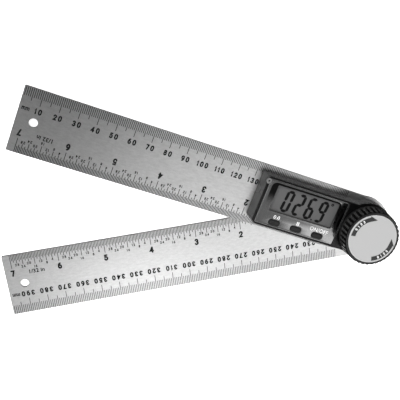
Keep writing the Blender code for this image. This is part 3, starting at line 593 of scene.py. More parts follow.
def taken(curve):
    """The mesh of a curve or text, welded shut, with its temporary object removed."""
    holder = placed("holder", curve)
    mesh = evaluated(holder)
    bpy.data.objects.remove(holder)
    bpy.data.curves.remove(curve)
    bm = bmesh.new()
    bm.from_mesh(mesh)
    bmesh.ops.remove_doubles(bm, verts=bm.verts, dist=1e-4)
    bmesh.ops.recalc_face_normals(bm, faces=bm.faces)
    bm.to_mesh(mesh)
    bm.free()
    mesh.materials.clear()
    return mesh


@functools.cache
def label(text, bold):
    """A closed mesh of a line of text, one unit high and thick, centred on the origin."""
    curve = bpy.data.curves.new("label", "FONT")
    curve.body = text
    curve.offset = bold
    curve.space_character = 1.05
    curve.extrude = 0.5
    curve.resolution_u = 3
    mesh = taken(curve)
    xs = [v.co.x for v in mesh.vertices]
    ys = [v.co.y for v in mesh.vertices]
    tall = max(ys) - min(ys)
    middle = Vector(((max(xs) + min(xs)) / 2, (max(ys) + min(ys)) / 2, 0.0))
    mesh.transform(Matrix.Diagonal((1 / tall, 1 / tall, 1, 1)) @ Matrix.Translation(-middle))
    return mesh


def put(bm, mesh, place, size=1.0, turn=0.0, top=0.0, stand=MARK_STAND, sink=MARK_SINK):
    """Adds a flat mesh at a place on the surface at height top, in millimetres. Size is one measure, or a
    width and a height."""
    wide, tall = size if isinstance(size, tuple) else (size, size)
    thickness = stand + sink
    matrix = (Matrix.Translation((place[0] * MM, place[1] * MM, (top - sink + thickness / 2) * MM))
              @ Matrix.Rotation(turn, 4, "Z")
              @ Matrix.Diagonal((wide * MM, tall * MM, thickness * MM, 1.0)))
    copy = mesh.copy()
    copy.transform(matrix)
    bm.from_mesh(copy)
    bpy.data.meshes.remove(copy)


# The engraver's numerals: centre lines in a unit cell, each with its width and whether it closes on itself.
OVAL = [(0.5 + 0.5 * math.copysign(abs(math.cos(a)) ** 0.8, math.cos(a)),
         0.5 + 0.5 * math.copysign(abs(math.sin(a)) ** 0.8, math.sin(a))) for a in
        (math.tau * (i + 0.5) / 28 for i in range(28))]
SIX = [(True, arc(0.5, 0.31, 0.5, 0.31, 0, 345, 23)),
       (False, [(0.0, 0.33), (0.02, 0.5), (0.1, 0.68), (0.24, 0.84), (0.44, 0.95), (0.72, 1.0)])]
NUMERALS = {
    "0": (0.62, [(True, OVAL)]),
    "1": (0.36, [(False, [(0.0, 0.74), (0.75, 1.0), (0.75, 0.0)])]),
    "2": (0.6, [(False, arc(0.5, 0.71, 0.5, 0.29, 172, -28) + [(0.0, 0.0), (1.0, 0.0)])]),
    "3": (0.6, [(False, arc(0.48, 0.765, 0.46, 0.235, 155, -90)),
                (False, arc(0.48, 0.265, 0.52, 0.265, 90, -158))]),
    "4": (0.64, [(False, [(0.74, 0.0), (0.74, 1.0)]), (False, [(0.74, 1.0), (0.0, 0.27), (1.0, 0.27)])]),
    "5": (0.6, [(False, [(0.9, 1.0), (0.14, 1.0), (0.08, 0.55)] + arc(0.48, 0.33, 0.52, 0.33, 128, -155))]),
    "6": (0.6, SIX),
    "7": (0.58, [(False, [(0.0, 1.0), (1.0, 1.0), (0.34, 0.0)])]),
    "8": (0.6, [(True, arc(0.5, 0.77, 0.42, 0.23, 0, 345, 23)),
                (True, arc(0.5, 0.27, 0.5, 0.27, 0, 345, 23))]),
    "9": (0.6, [(closed, [(1 - x, 1 - y) for x, y in points]) for closed, points in SIX]),
}


def ribbon(points, half, closed):
    """The outlines of a stroke of even width along a centre line, with round ends where it is open."""
    total = len(points)
    left, right = [], []
    for i, (x, y) in enumerate(points):
        before = points[i - 1] if i or closed else points[i]
        after = points[(i + 1) % total] if i < total - 1 or closed else points[i]
        into = Vector((x - before[0], y - before[1]))
        out = Vector((after[0] - x, after[1] - y))
        into = into.normalized() if into.length else out.normalized()
        out = out.normalized() if out.length else into
        way = (into + out).normalized()
        reach = half / max(way.dot(into), 0.5)
        left.append((x - way.y * reach, y + way.x * reach))
        right.append((x + way.y * reach, y - way.x * reach))
    if closed:
        return [left, right]
    cap = []
    for (x, y), (nx, ny) in ((points[-1], points[-2]), (points[0], points[1])):
        facing = math.degrees(math.atan2(y - ny, x - nx))
        cap.append(arc(x, y, half, half, facing + 60, facing - 60, 4))
    return [left + cap[0] + right[::-1] + cap[1]]


@functools.cache
def numerals(text, half=0.12):
    """A closed mesh of engraved numerals, one unit high and thick, centred on the origin."""
    gap = 0.23
    widths = [NUMERALS[char][0] for char in text]
    x = -(sum(widths) + gap * (len(text) - 1)) / 2
    bm = bmesh.new()
    for char, width in zip(text, widths):
        for layer, (closed, points) in enumerate(NUMERALS[char][1]):
            line = [(x + half + px * (width - 2 * half), (py - 0.5) * (1 - 2 * half)) for px, py in points]
            flat = outline_print(ribbon(line, half, closed))
            # Strokes that cross get tops at slightly different heights, so that no two faces coincide.
            flat.transform(Matrix.Translation((0, 0, 0.02 * layer)))
            bm.from_mesh(flat)
            bpy.data.meshes.remove(flat)
        x += width + gap
    return meshed("numerals", bm)


def plate_outlines(node):
    """The closed outlines of a CAD node's top face, outside and holes, in millimetres."""
    bm = copied(node)
    top = max(v.co.z for v in bm.verts)
    roof = {f for f in bm.faces if f.normal.z > 0.99 and abs(f.calc_center_median().z - top) < 0.01 * MM}
    rim = {e for e in bm.edges if sum(f in roof for f in e.link_faces) == 1}
    loops = []
    while rim:
        edge = rim.pop()
        first, last = edge.verts
        loop = [first, last]
        while last is not first:
            edge = next(e for e in last.link_edges if e in rim)
            rim.discard(edge)
            last = edge.other_vert(last)
            loop.append(last)
        loops.append([(v.co.x / MM, v.co.y / MM) for v in loop[:-1]])
    bm.free()
    return loops


# Geometry Nodes

def new_tree(name, **inputs):
    """A Geometry Nodes tree with a geometry going in and out, and its other inputs' names by their kind."""
    tree = bpy.data.node_groups.new(name, "GeometryNodeTree")
    tree.interface.new_socket("Geometry", in_out="OUTPUT", socket_type="NodeSocketGeometry")
    for kind, names in {"Geometry": ["Geometry"], **inputs}.items():
        for title in names:
            tree.interface.new_socket(title, in_out="INPUT", socket_type="NodeSocket" + kind)
    return tree, add_node(tree, "NodeGroupInput").outputs


def close_tree(tree, geometry, material):
    """Ends a tree: instances are made real and the finish is set."""
    real = add_node(tree, "GeometryNodeRealizeInstances", (geometry,))
    finish = add_node(tree, "GeometryNodeSetMaterial", {"Geometry": real, "Material": material})
    add_node(tree, "NodeGroupOutput", (finish,))
    return tree


def grow(tree, values, base=None):
    """Runs a tree on a base mesh with its inputs' values, and returns the plain mesh that it makes."""
    holder = placed("holder", base or bpy.data.meshes.new("base"))
    modifier = holder.modifiers.new("grow", "NODES")
    modifier.node_group = tree
    for item in tree.interface.items_tree:
        if item.in_out == "INPUT" and item.name in values:
            modifier[item.identifier] = values[item.name]
    mesh = evaluated(holder)
    holder.modifiers.remove(modifier)
    bpy.data.objects.remove(holder)
    mesh.materials.clear()
    return mesh


@functools.cache
def tick_tree(levels):
    """A row of ticks along an edge. Its number sets a tick's length: each level is a step and a length."""
    steps = ["Step %d" % level for level in range(levels)]
    lengths = ["Length %d" % level for level in range(levels)]
    tree, given = new_tree(
        "ticks_%d_levels" % levels, Int=["First Number", "Count"] + steps[1:], Material=["Finish"],
        Float=["First", "Pitch", "Edge", "Side", "Height", "Width", "Thickness"] + lengths)
    start = add_node(tree, VECTOR, (given["First"], given["Edge"], given["Height"]))
    offset = add_node(tree, VECTOR, (given["Pitch"],))
    row = add_node(tree, "GeometryNodeMeshLine",
                   {"Count": given["Count"], "Start Location": start, "Offset": offset})
    index = add_node(tree, "GeometryNodeInputIndex")
    mark = add_node(tree, MATH, (index, given["First Number"]), operation="ADD")
    reach = given["Length 0"]
    for step, at_step in zip(steps[1:], lengths[1:]):
        rest = add_node(tree, MATH, (mark, given[step]), operation="MODULO")
        on_step = add_node(tree, "FunctionNodeCompare", (rest, 0.5), operation="LESS_THAN")
        reach = add_node(tree, "GeometryNodeSwitch", (on_step, reach, given[at_step]), input_type="FLOAT")
    box = add_node(tree, "GeometryNodeMeshCube", {"Size": (1.0, 1.0, 1.0)})
    inward = add_node(tree, MATH, (given["Side"], -0.5), operation="MULTIPLY")
    shift = add_node(tree, VECTOR, {1: inward})
    edge_box = add_node(tree, "GeometryNodeTransform", {"Geometry": box, "Translation": shift})
    size = add_node(tree, VECTOR, (given["Width"], reach, given["Thickness"]))
    ticks = add_node(tree, "GeometryNodeInstanceOnPoints",
                     {"Points": row, "Instance": edge_box, "Scale": size})
    return close_tree(tree, ticks, given["Finish"])


@functools.cache
def knob_tree():
    """A profile spun round the knob's axis, with grip grooves sunk into its outside."""
    tree, given = new_tree(
        "grooved_knob", Int=["Steps", "Rings"], Material=["Finish"],
        Float=["Grooves", "Depth", "Bottom", "Top", "Runout", "Turn", "Outside"])
    columns = add_node(tree, MATH, (given["Steps"], 1.0), operation="ADD")
    grid = add_node(tree, "GeometryNodeMeshGrid", {"Vertices X": columns, "Vertices Y": given["Rings"]})

    # A column of the grid is a step round the axis, and a point along the column is a point of the profile.
    index = add_node(tree, "GeometryNodeInputIndex")
    centre = add_node(tree, MATH, (index, 0.5), operation="ADD")
    passed = add_node(tree, MATH, (centre, given["Rings"]), operation="DIVIDE")
    column = add_node(tree, MATH, (passed,), operation="FLOOR")
    before = add_node(tree, MATH, (column, given["Rings"]), operation="MULTIPLY")
    ring = add_node(tree, MATH, (index, before), operation="SUBTRACT")
    where = add_node(tree, "GeometryNodeInputPosition")
    sample = add_node(tree, "GeometryNodeSampleIndex",
                      {"Geometry": given["Geometry"], "Value": where, "Index": ring},
                      data_type="FLOAT_VECTOR")
    point = add_node(tree, "ShaderNodeSeparateXYZ", (sample,))
    radius, height = point.outputs[0], point.outputs[2]

    # A groove lies away from the middle of its step, and runs out towards its two ends.
    turned = add_node(tree, MATH, (column, given["Steps"]), operation="DIVIDE")
    along = add_node(tree, MATH, (turned, given["Grooves"]), operation="MULTIPLY")
    phase = add_node(tree, MATH, (along,), operation="FRACT")
    past_crest = add_node(tree, MATH, (phase, 0.5), operation="SUBTRACT")
    from_crest = add_node(tree, MATH, (past_crest,), operation="ABSOLUTE")
    full_low = add_node(tree, MATH, (given["Bottom"], given["Runout"]), operation="ADD")
    full_high = add_node(tree, MATH, (given["Top"], given["Runout"]), operation="SUBTRACT")
    groove = add_node(tree, RANGE, (from_crest, 0.22, 0.33), interpolation_type="SMOOTHSTEP")
    rise = add_node(tree, RANGE, (height, given["Bottom"], full_low), interpolation_type="SMOOTHSTEP")
    fall = add_node(tree, RANGE, (height, full_high, given["Top"]), interpolation_type="SMOOTHSTEP")
    between = add_node(tree, MATH, (rise, fall), operation="SUBTRACT")
    outside = add_node(tree, MATH, (radius, given["Outside"]), operation="GREATER_THAN")
    mask = add_node(tree, MATH, (between, outside), operation="MULTIPLY")
    share = add_node(tree, MATH, (groove, mask), operation="MULTIPLY")
    sunk = add_node(tree, MATH, (share, given["Depth"]), operation="MULTIPLY")
    grooved = add_node(tree, MATH, (radius, sunk), operation="SUBTRACT")

    round_axis = add_node(tree, MATH, (turned, math.tau), operation="MULTIPLY")
    way = add_node(tree, MATH, (round_axis, given["Turn"]), operation="ADD")
    cosine, sine = (add_node(tree, MATH, (way,), operation=kind) for kind in ("COSINE", "SINE"))
    x, y = (add_node(tree, MATH, (grooved, part), operation="MULTIPLY") for part in (cosine, sine))
    spot = add_node(tree, VECTOR, (x, y, height))
    moved = add_node(tree, "GeometryNodeSetPosition", {"Geometry": grid, "Position": spot})
    welded = add_node(tree, "GeometryNodeMergeByDistance", {"Geometry": moved, "Distance": 1e-6})
    return close_tree(tree, welded, given["Finish"])


def screw_tree():
    """Sets copies of a turned screw in rows, each with a slot across its head."""
    tree, given = new_tree(
        "screw_rows", Int=["Columns", "Rows"], Vector=["Centre"], Material=["Finish"],
        Float=["Width", "Height", "Slot Length", "Slot Width", "Slot Depth"])
    tall = add_node(tree, MATH, (given["Slot Depth"], 2.0), operation="MULTIPLY")
    size = add_node(tree, VECTOR, (given["Slot Length"], given["Slot Width"], tall))
    bar = add_node(tree, "GeometryNodeMeshCube", {"Size": size})
    cut = add_node(tree, "GeometryNodeMeshBoolean", {"Mesh 1": given["Geometry"], "Mesh 2": bar},
                   operation="DIFFERENCE", solver="EXACT")
    grid = add_node(tree, "GeometryNodeMeshGrid", {
        "Size X": given["Width"], "Size Y": given["Height"],
        "Vertices X": given["Columns"], "Vertices Y": given["Rows"]})
    places = add_node(tree, "GeometryNodeTransform", {"Geometry": grid, "Translation": given["Centre"]})
    screws = add_node(tree, "GeometryNodeInstanceOnPoints", {"Points": places, "Instance": cut})
    return close_tree(tree, screws, given["Finish"])


def turned_shell(profile, steps, **values):
    """The closed bmesh of a profile of radius and height, in millimetres, spun round the pivot's axis."""
    line = bpy.data.meshes.new("profile")
    edges = [(i, i + 1) for i in range(len(profile) - 1)]
    line.from_pydata([(r * MM, 0, z * MM) for r, z in profile], edges, [])
    bm = bmesh.new()
    bm.from_mesh(grow(knob_tree(), {"Steps": steps, "Rings": len(profile), **values}, line))
    bmesh.ops.dissolve_degenerate(bm, dist=1e-7, edges=bm.edges)
    bmesh.ops.recalc_face_normals(bm, faces=bm.faces)
    return bm


# The pieces

class AF_OT_studio(bpy.types.Operator):
    """Sets the camera at the photograph's view, a pale floor and soft lights"""

    bl_idname = "angle_finder.studio"
    bl_label = "Studio"

    def execute(self, context):
        chosen = settings("studio")
        scene = context.scene
        camera = placed("camera", bpy.data.cameras.new("camera"))
        turn = Matrix((CAMERA_RIGHT, CAMERA_UP, -CAMERA_FORWARD)).transposed().to_4x4()
        camera.matrix_world = Matrix.Translation(chosen.camera_place) @ turn
        camera.data.lens = chosen.lens
        camera.data.sensor_width = 36.0
        camera.data.clip_start = 0.01
        camera.data.clip_end = 20.0
        scene.camera = camera
        scene.view_settings.view_transform = "Standard"
        scene.view_settings.look = "None"
        room(scene, chosen.sky, chosen.wall)
        table(chosen.floor, chosen.table)
        for name, place, aim, turn, size, brightness in SOFTBOXES:
            softbox(name, place, aim, turn, size, brightness * chosen.light)
        return {"FINISHED"}


def room(scene, sky, wall):
    """A dark room with a pale wall all round, which the steel mirrors when it is seen from the side."""
    world = bpy.data.worlds.new("room")
    scene.world = world
    world.use_nodes = True
    tree = world.node_tree
    background = tree.nodes["Background"]
    background.inputs["Color"].default_value = WHITE
    way = add_node(tree, "ShaderNodeTexCoord").outputs["Object"]
    rise = add_node(tree, "ShaderNodeSeparateXYZ", (way,)).outputs["Z"]
    # The wall fades in just below the horizon, and out well above it.
    foot = add_node(tree, RANGE, (rise, -0.25, -0.12, 0.0, wall), interpolation_type="SMOOTHSTEP")
    top = add_node(tree, RANGE, (rise, 0.6, 0.8, 1.0, 0.0), interpolation_type="SMOOTHSTEP")
    glow = add_node(tree, MATH, (foot, top, sky), operation="MULTIPLY_ADD")
    tree.links.new(glow.outputs[0], background.inputs["Strength"])
    world.cycles_visibility.diffuse = False


def table(base, glow):
    """An opal acrylic table lit from below: pale, matte and nearly without shadows."""
    bm = bmesh.new()
    bmesh.ops.create_grid(bm, x_segments=8, y_segments=8, size=2.0)
    bmesh.ops.translate(bm, verts=bm.verts, vec=(0.0, 0.0, -0.05 * MM))
    material, tree, shader = new_material("opal_acrylic_table", base, Roughness=0.9,
                                          Emission_Color=WHITE, Emission_Strength=glow)
    vary_gloss(tree, shader, grain(tree, 3.0), 0.85, 0.95)
    floor = placed("floor", meshed("floor", bm))
    floor.data.materials.append(material)
    # Gloss mirrors the room, not the table, so that the black parts stay black.
    floor.visible_glossy = False


# Name, place, aim, turn in degrees, size and brightness. Lengths are in millimetres.
SOFTBOXES = (
    ("overhead_key", (294, -179, 600), (294, -179, 0), 28, (200, 76), 4.7),
    ("overhead_right", (330, -150, 600), (330, -150, 0), 0, (420, 160), 0.7),
    ("overhead_far_right", (450, -90, 600), (450, -90, 0), 0, (220, 180), 3.0),
    ("overhead_front", (120, -370, 600), (120, -370, 0), 0, (280, 120), 4.9),
    ("overhead_front_left", (-90, -370, 600), (-90, -370, 0), 0, (140, 120), 1.95),
    ("overhead_middle", (50, -130, 600), (50, -130, 0), 0, (140, 120), 1.3),
    ("overhead_middle_front", (50, -250, 600), (50, -250, 0), 0, (140, 120), 0.45),
    ("overhead_far_left", (-480, -250, 600), (-480, -250, 0), 0, (360, 400), 0.8),
    ("low_left", (-700, 0, 250), (0, 0, 0), 0, (1000, 480), 1.37),
    ("side_left", (-700, 60, 360), (0, 0, 0), 0, (1000, 620), 1.84),
    ("low_back", (-60, 700, 170), (-40, 0, 0), 0, (1100, 300), 1.27),
    ("low_front", (0, -800, 280), (0, 0, 0), 0, (1500, 540), 1.63),
    ("low_right", (700, 0, 260), (0, 0, 0), 0, (1000, 500), 1.3),
    ("fill_behind_camera", (-800, 950, 900), (-80, 0, 0), 0, (2100, 2000), 1.58),
)


def softbox(name, place, aim, turn, size, brightness):
    """A rectangular light of even brightness, in millimetres, that faces its aim."""
    light = bpy.data.lights.new(name, "AREA")
    light.shape = "RECTANGLE"
    light.size = size[0] * MM
    light.size_y = size[1] * MM
    # An area light's radiance is its power over pi and its area.
    light.energy = brightness * math.pi * light.size * light.size_y
    obj = placed(name, light)
    # The low lights are too bright to be mirrored. From the side, the steel mirrors the room's wall.
    obj.visible_glossy = name.startswith("overhead")
    facing = (Vector(aim) - Vector(place)).to_track_quat("-Z", "Y").to_matrix().to_4x4()
    rolled = facing @ Matrix.Rotation(math.radians(turn), 4, "Z")
    obj.matrix_world = Matrix.Translation(Vector(place) * MM) @ rolled


class AF_OT_arms(bpy.types.Operator):
    """Makes the two steel rule arms with their edges broken"""

    bl_idname = "angle_finder.arms"
    bl_label = "Steel Arms"

    def execute(self, context):
        dress("upper_blade", "upper_blade_steel", "steel_upper", "upper_arm", EDGE_BREAK)
        dress("lower_blade", "lower_blade_steel", "steel_lower", "lower_arm", EDGE_BREAK)
        return {"FINISHED"}


class AF_OT_ticks(bpy.types.Operator):
    """Makes the millimetre and inch ticks of both arms"""

    bl_idname = "angle_finder.ticks"
    bl_label = "Scale Ticks"

    def execute(self, context):
        chosen = settings("scale")
        thickness = MARK_STAND + MARK_SINK
        edge = (ARM_EDGE - 1.2 * EDGE_BREAK) * MM
        for body, top, sign, turn, finish, _ in ARMS:
            rows = bmesh.new()
            shared = {"Height": (top - MARK_SINK + thickness / 2) * MM, "Thickness": thickness * MM,
                      "Finish": MATERIALS[finish]}
            for steps, reaches, values in (
                (METRIC_STEPS, chosen.ticks, {
                    "First": sign * (ARM_LENGTH - 1) * MM, "First Number": 1, "Pitch": -sign * MM,
                    "Count": int(round(ARM_LENGTH - chosen.last_tick / MM)), "Width": chosen.tick_width,
                    "Edge": edge, "Side": 1.0}),
                (INCH_STEPS, chosen.inch_ticks, {
                    "First": sign * chosen.inch_zero, "First Number": 0, "Pitch": sign * INCH / 32 * MM,
                    "Count": LAST_INCH * 32 + 1, "Width": chosen.inch_width, "Edge": -edge, "Side": -1.0})):
                for level, (step, reach) in enumerate(zip(steps, reaches)):
                    values.update({"Step %d" % level: step, "Length %d" % level: reach})
                rows.from_mesh(grow(tick_tree(len(steps)), {**shared, **values}))
            rows.transform(turn)
            piece(body + "_ticks", rows, finish, body)
        return {"FINISHED"}


class AF_OT_numbers(bpy.types.Operator):
    """Makes the numbers and units along both scales"""

    bl_idname = "angle_finder.numbers"
    bl_label = "Scale Numbers"

    def execute(self, context):
        chosen = settings("scale")
        metric_height, inch_height = chosen.number_height / MM, chosen.inch_number_height / MM
        small_height, inch_zero = chosen.small_number_height / MM, chosen.inch_zero / MM
        metric_y = ARM_EDGE - METRIC_ROW
        inch_y = INCH_ROW - ARM_EDGE
        for body, top, sign, turn, _, numbers in ARMS:
            marks = bmesh.new()
            for value in numbers:
                put(marks, numerals(str(value)), (value - ARM_LENGTH, metric_y), metric_height, top=top)
            unit, unit_x = label("mm", 0.045), sign * METRIC_UNIT_PLACE
            put(marks, unit, (unit_x, metric_y - 0.1), (1.45, 1.75), top=top)
            unit, unit_x = label("1/32 in", 0.035), sign * INCH_UNIT_PLACE
            put(marks, unit, (unit_x, inch_y + 0.35), 2.35, math.pi, top)
            for inch in range(FIRST_INCH, LAST_INCH + 1):
                x = sign * (inch_zero + inch * INCH)
                put(marks, numerals(str(inch)), (x, inch_y), inch_height, math.pi, top)
                for part in range(4, 32, 4) if inch < LAST_INCH else ():
                    row = SMALL_ROWS[2 if part == 16 else 1 if part % 8 == 0 else 0]
                    x = sign * (inch_zero + (inch + part / 32) * INCH)
                    put(marks, numerals(str(part), 0.11), (x, row - ARM_EDGE), small_height, math.pi, top)
            marks.transform(turn)
            piece(body + "_numbers", marks, "ink", body)
        return {"FINISHED"}


class AF_OT_head(bpy.types.Operator):
    """Makes the head's moulded housing, its front panel and the black painted shade round the window"""

    bl_idname = "angle_finder.head"
    bl_label = "Head"

    def execute(self, context):
        housing = copied("display_housing")
        # The side walls take a lighter grey than the top: painted light on the sides, which are the same
        # plastic.
        for face in housing.faces:
            face.material_index = 1 if abs(face.normal.z) < 0.5 else 0
        piece("head_shell", housing, ["housing", "wall"], "upper_arm", ["display_housing"], 50)

        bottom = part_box("display_panel")[0].z / MM
        panel = bmesh.new()
        plate = outline_print(plate_outlines("display_panel"))
        put(panel, plate, (0, 0), top=bottom, stand=PANEL_TOP - bottom, sink=0)
        soften(panel, PANEL_ROUND, 3, at_height(PANEL_TOP))
        # Inside the border: the window's walls, then its rounded edge with the window's painted shade.
        # Outside it, only the rim differs.
        for face in panel.faces:
            middle, tilt = face.calc_center_median() / MM, face.normal.z
            if BORDER[0] < middle.x < BORDER[1] and BORDER[2] < middle.y < BORDER[3]:
                face.material_index = 1 if abs(tilt) < 0.2 else 2 if 0 < tilt < 0.99 else 0
            # Outside the border, the edges take the rim's grey: a painted highlight.
            elif abs(tilt) < 0.97:
                face.material_index = 3
        piece("front_panel", panel, ["panel", "black_print", "border", "rim"], "upper_arm",
              ["display_panel"], 40)

        # A small boss whose grey ring is a painted highlight at the housing's corner.
        top = top_of("display_housing")
        profile = ((0.5, -0.1), (1.45, -0.1), (1.6, -0.02), (1.5, 0.06), (1.3, 0.1), (0.75, 0.1),
                   (0.6, 0.07), (0.5, 0.0), (0.5, -0.1))
        stud = turned_shell([(radius, top + height) for radius, height in profile], 48)
        bmesh.ops.translate(stud, verts=stud.verts, vec=(STUD_PLACE[0] * MM, STUD_PLACE[1] * MM, 0))
        piece("stud_ring", stud, "stud", "upper_arm")

        # The band round the window carries the painted shade: black at the top, fading into the lacquer
        # below.
        ring = bmesh.new()
        low, high = PANEL_TOP - MARK_SINK, PANEL_TOP + MARK_STAND
        gap = PANEL_ROUND
        x0, x1, y0, y1 = WINDOW
        outer = rounded_rectangle(*BORDER, BORDER_CORNER)
        inner = rounded_rectangle(x0 - gap, x1 + gap, y0 - gap, y1 + gap, WINDOW_CORNER + gap)
        section = ((outer, low), (outer, high), (inner, high), (inner, low))
        loops = [outline_verts(ring, points, height) for points, height in section]
        for i in range(4):
            bridge(ring, loops[i], loops[(i + 1) % 4])
        bmesh.ops.recalc_face_normals(ring, faces=ring.faces)
        piece("window_print", ring, "border", "upper_arm")
        return {"FINISHED"}


def digit_bars(char, width, height, stroke):
    """The outlines of a seven-segment digit's bars, round its own middle. Sizes are in millimetres."""
    half = stroke / 2
    gap = 0.05
    left, right = -width / 2 + half, width / 2 - half
    top, bottom = height / 2 - half, -height / 2 + half
    ends = {"a": (left, top, right, top), "g": (left, 0, right, 0), "d": (left, bottom, right, bottom),
            "f": (left, top, left, 0), "b": (right, top, right, 0),
            "e": (left, 0, left, bottom), "c": (right, 0, right, bottom)}
    bars = []
    for name in SEGMENTS[char]:
        ax, ay, bx, by = ends[name]
        size = math.hypot(bx - ax, by - ay)
        ux, uy = (bx - ax) / size, (by - ay) / size
        shape = [(gap, 0), (half + gap, half), (size - half - gap, half), (size - gap, 0),
                 (size - half - gap, -half), (half + gap, -half)]
        bars.append([(ax + s * ux - t * uy, ay + s * uy + t * ux) for s, t in shape])
    return bars


class AF_OT_display(bpy.types.Operator):
    """Makes the display's glass with its polariser, and the digits that it shows"""

    bl_idname = "angle_finder.display"
    bl_label = "Display"

    def execute(self, context):
        chosen = settings("head")
        dress("lcd_glass", "display_glass", "display", "upper_arm", 0.12)

        height, width = chosen.digit_height / MM, chosen.digit_width / MM
        stroke, pitch = chosen.digit_stroke / MM, chosen.digit_pitch / MM
        lean = math.tan(chosen.digit_slant)
        marks = bmesh.new()
        for place, char in enumerate(READING):
            for bar in digit_bars(char, width, height, stroke):
                leaned = outline_print([[(x + y * lean, y) for x, y in bar]])
                put(marks, leaned, (FIRST_DIGIT[0] + place * pitch, FIRST_DIGIT[1]), top=GLASS_TOP)
        point = outline_print([rounded_rectangle(-0.45, 0.45, -0.45, 0.45, 0.2, 3)])
        put(marks, point, POINT_PLACE, top=GLASS_TOP)
        degree = outline_print([circle(0.85, 24), circle(0.28, 24)])
        put(marks, degree, DEGREE_PLACE, top=GLASS_TOP)
        piece("display_digits", marks, "segments", "upper_arm")
        return {"FINISHED"}


class AF_OT_buttons(bpy.types.Operator):
    """Makes the three buttons and the signs printed over them"""

    bl_idname = "angle_finder.buttons"
    bl_label = "Buttons"

    def execute(self, context):
        chosen = settings("head")
        crown = chosen.button_crown / MM
        for name in ("zero", "hold", "power"):
            node = name + "_button"
            rim = at_height(top_of(node))
            dress(node, node + "_cap", "button", name + "_key", crown, 4, rim)
        signs = bmesh.new()
        tall = chosen.legend_height / MM
        bar = outline_print([rounded_rectangle(-0.15, 0.15, -0.5, 0.5, 0.05, 2)])
        zero, power = label("0.0", 0.02), label("ON/OFF", 0.012)
        for sign, x in ((zero, -52.0), (bar, -39.45), (bar, -38.55), (power, -25.75)):
            put(signs, sign, (x, SIGN_ROW), tall, top=PANEL_TOP)
        piece("button_signs", signs, "legend", "upper_arm")
        return {"FINISHED"}


def knob_profile():
    """The knob shell's section, from the axis round the outside and back to the axis."""
    bottom, top = KNOB_BOTTOM, KNOB_TOP
    seat = [(0.0, 22.4), (14.0, 22.4), (14.0, 22.84), (14.04, 22.94)]
    rim = [(14.14, top), (14.62, top), (14.8, 22.97), (14.97, 22.88), (15.15, 22.74), (15.33, 22.58),
           (15.48, 22.42), (15.58, 22.28)]
    # The grip widens a little from its top to its foot, in enough rings for the grooves' ends.
    steps, low, high, slim, wide = 16, 13.85, 22.15, 15.65, 16.0
    grip = [(slim + (wide - slim) * i / steps, high - (high - low) * i / steps) for i in range(steps + 1)]
    foot = [(15.96, 13.66), (15.86, 13.5), (15.7, 13.37), (15.5, 13.29), (15.2, 13.24), (15.0, 13.2),
            (14.9, 13.1), (14.9, bottom + 0.1), (14.82, bottom), (13.25, bottom)]
    inside = [(13.25, 21.2), (8.55, 21.2), (8.55, 11.7), (7.12, 11.7), (7.12, 21.2), (0.0, 21.2)]
    return seat + rim + grip + foot + inside


class AF_OT_knob(bpy.types.Operator):
    """Makes the lock knob's grooved shell and the disc on it"""

    bl_idname = "angle_finder.knob"
    bl_label = "Lock Knob"

    def execute(self, context):
        chosen = settings("knob")
        shell = turned_shell(
            knob_profile(), chosen.grooves * chosen.groove_steps, Grooves=float(chosen.grooves),
            Depth=chosen.groove_depth, Bottom=chosen.groove_low, Top=chosen.groove_high,
            Runout=chosen.groove_runout, Turn=math.radians(9), Outside=15.0 * MM)
        # The grooves, the inside and the neck are matt and near black: painted shade in the hollows and
        # under the grip. The ridges between the grooves are lighter: a painted highlight.
        for face in shell.faces:
            middle = face.calc_center_median() / MM
            reach = math.hypot(middle.x, middle.y)
            wall = chosen.groove_low / MM - 0.3 < middle.z < chosen.groove_high / MM
            inner = reach < 15.0 and middle.z < 22.0 or middle.z < KNOB_BOTTOM + 2.5
            crest = 15.55 + (22.3 - middle.z) * 0.04
            if inner or wall and reach < crest:
                face.material_index = 1
            elif wall and middle.z < 22.3:
                face.material_index = 2
        finishes = ["knob", "groove", "ridge"]
        piece("knob_grip", shell, finishes, "lock_knob", ["knob_shell"], 50)

        disc = turned_shell(
            [(0.0, 22.5), (13.8, 22.5), (DISC_RADIUS, 22.6), (DISC_RADIUS, 22.84), (13.87, 22.91),
             (13.8, DISC_FACE), (RING_INSIDE, DISC_FACE), (0.0, DISC_FACE)], 144)
        # The bevelled rim takes the paler foil: a painted highlight along the disc's edge.
        for face in disc.faces:
            middle = face.calc_center_median()
            reach = math.hypot(middle.x, middle.y) / MM
            face.material_index = 1 if reach > RING_INSIDE and middle.z / MM > 22.8 else 0
        piece("knob_disc_foil", disc, ["disc", "disc_rim"], "lock_knob", ["knob_disc"])
        return {"FINISHED"}


def arrow_outline(inside, outside, tail, neck, tip):
    """The outline of an arrow bent round the axis, from its tail's direction to its tip's."""
    barb = [polar(outside + 0.8, neck), polar(inside + 0.6, tip)]
    return arc(0, 0, outside, outside, tail, neck, 24) + barb + arc(0, 0, inside, inside, neck, tail, 24)


class AF_OT_arrows(bpy.types.Operator):
    """Makes the two arrows printed on the knob's disc, with plain numbers on them"""

    bl_idname = "angle_finder.arrows"
    bl_label = "Knob Arrows"

    def execute(self, context):
        chosen = settings("knob")
        inside, outside = chosen.arrow_inside / MM, chosen.arrow_outside / MM
        radius = (inside + outside) / 2
        pitch, height = 9.5, 1.6
        dark, light = bmesh.new(), bmesh.new()
        for tail, neck, tip, sign in ((187.5, 119.0, 100.0, -1), (-69.0, -2.0, 17.5, 1)):
            outline = arrow_outline(inside, outside, tail, neck, tip)
            put(dark, outline_print([outline]), (0, 0), top=DISC_FACE)
            for place, char in enumerate("0123"):
                way = (tail + neck) / 2 + sign * (place - 1.5) * pitch
                turn = math.radians(way + sign * 90)
                put(light, numerals(char), polar(radius, way), height, turn, DISC_FACE, 2 * MARK_STAND)
        piece("knob_arrows", dark, "arrow", "lock_knob")
        piece("knob_numbers", light, "legend", "lock_knob")
        return {"FINISHED"}


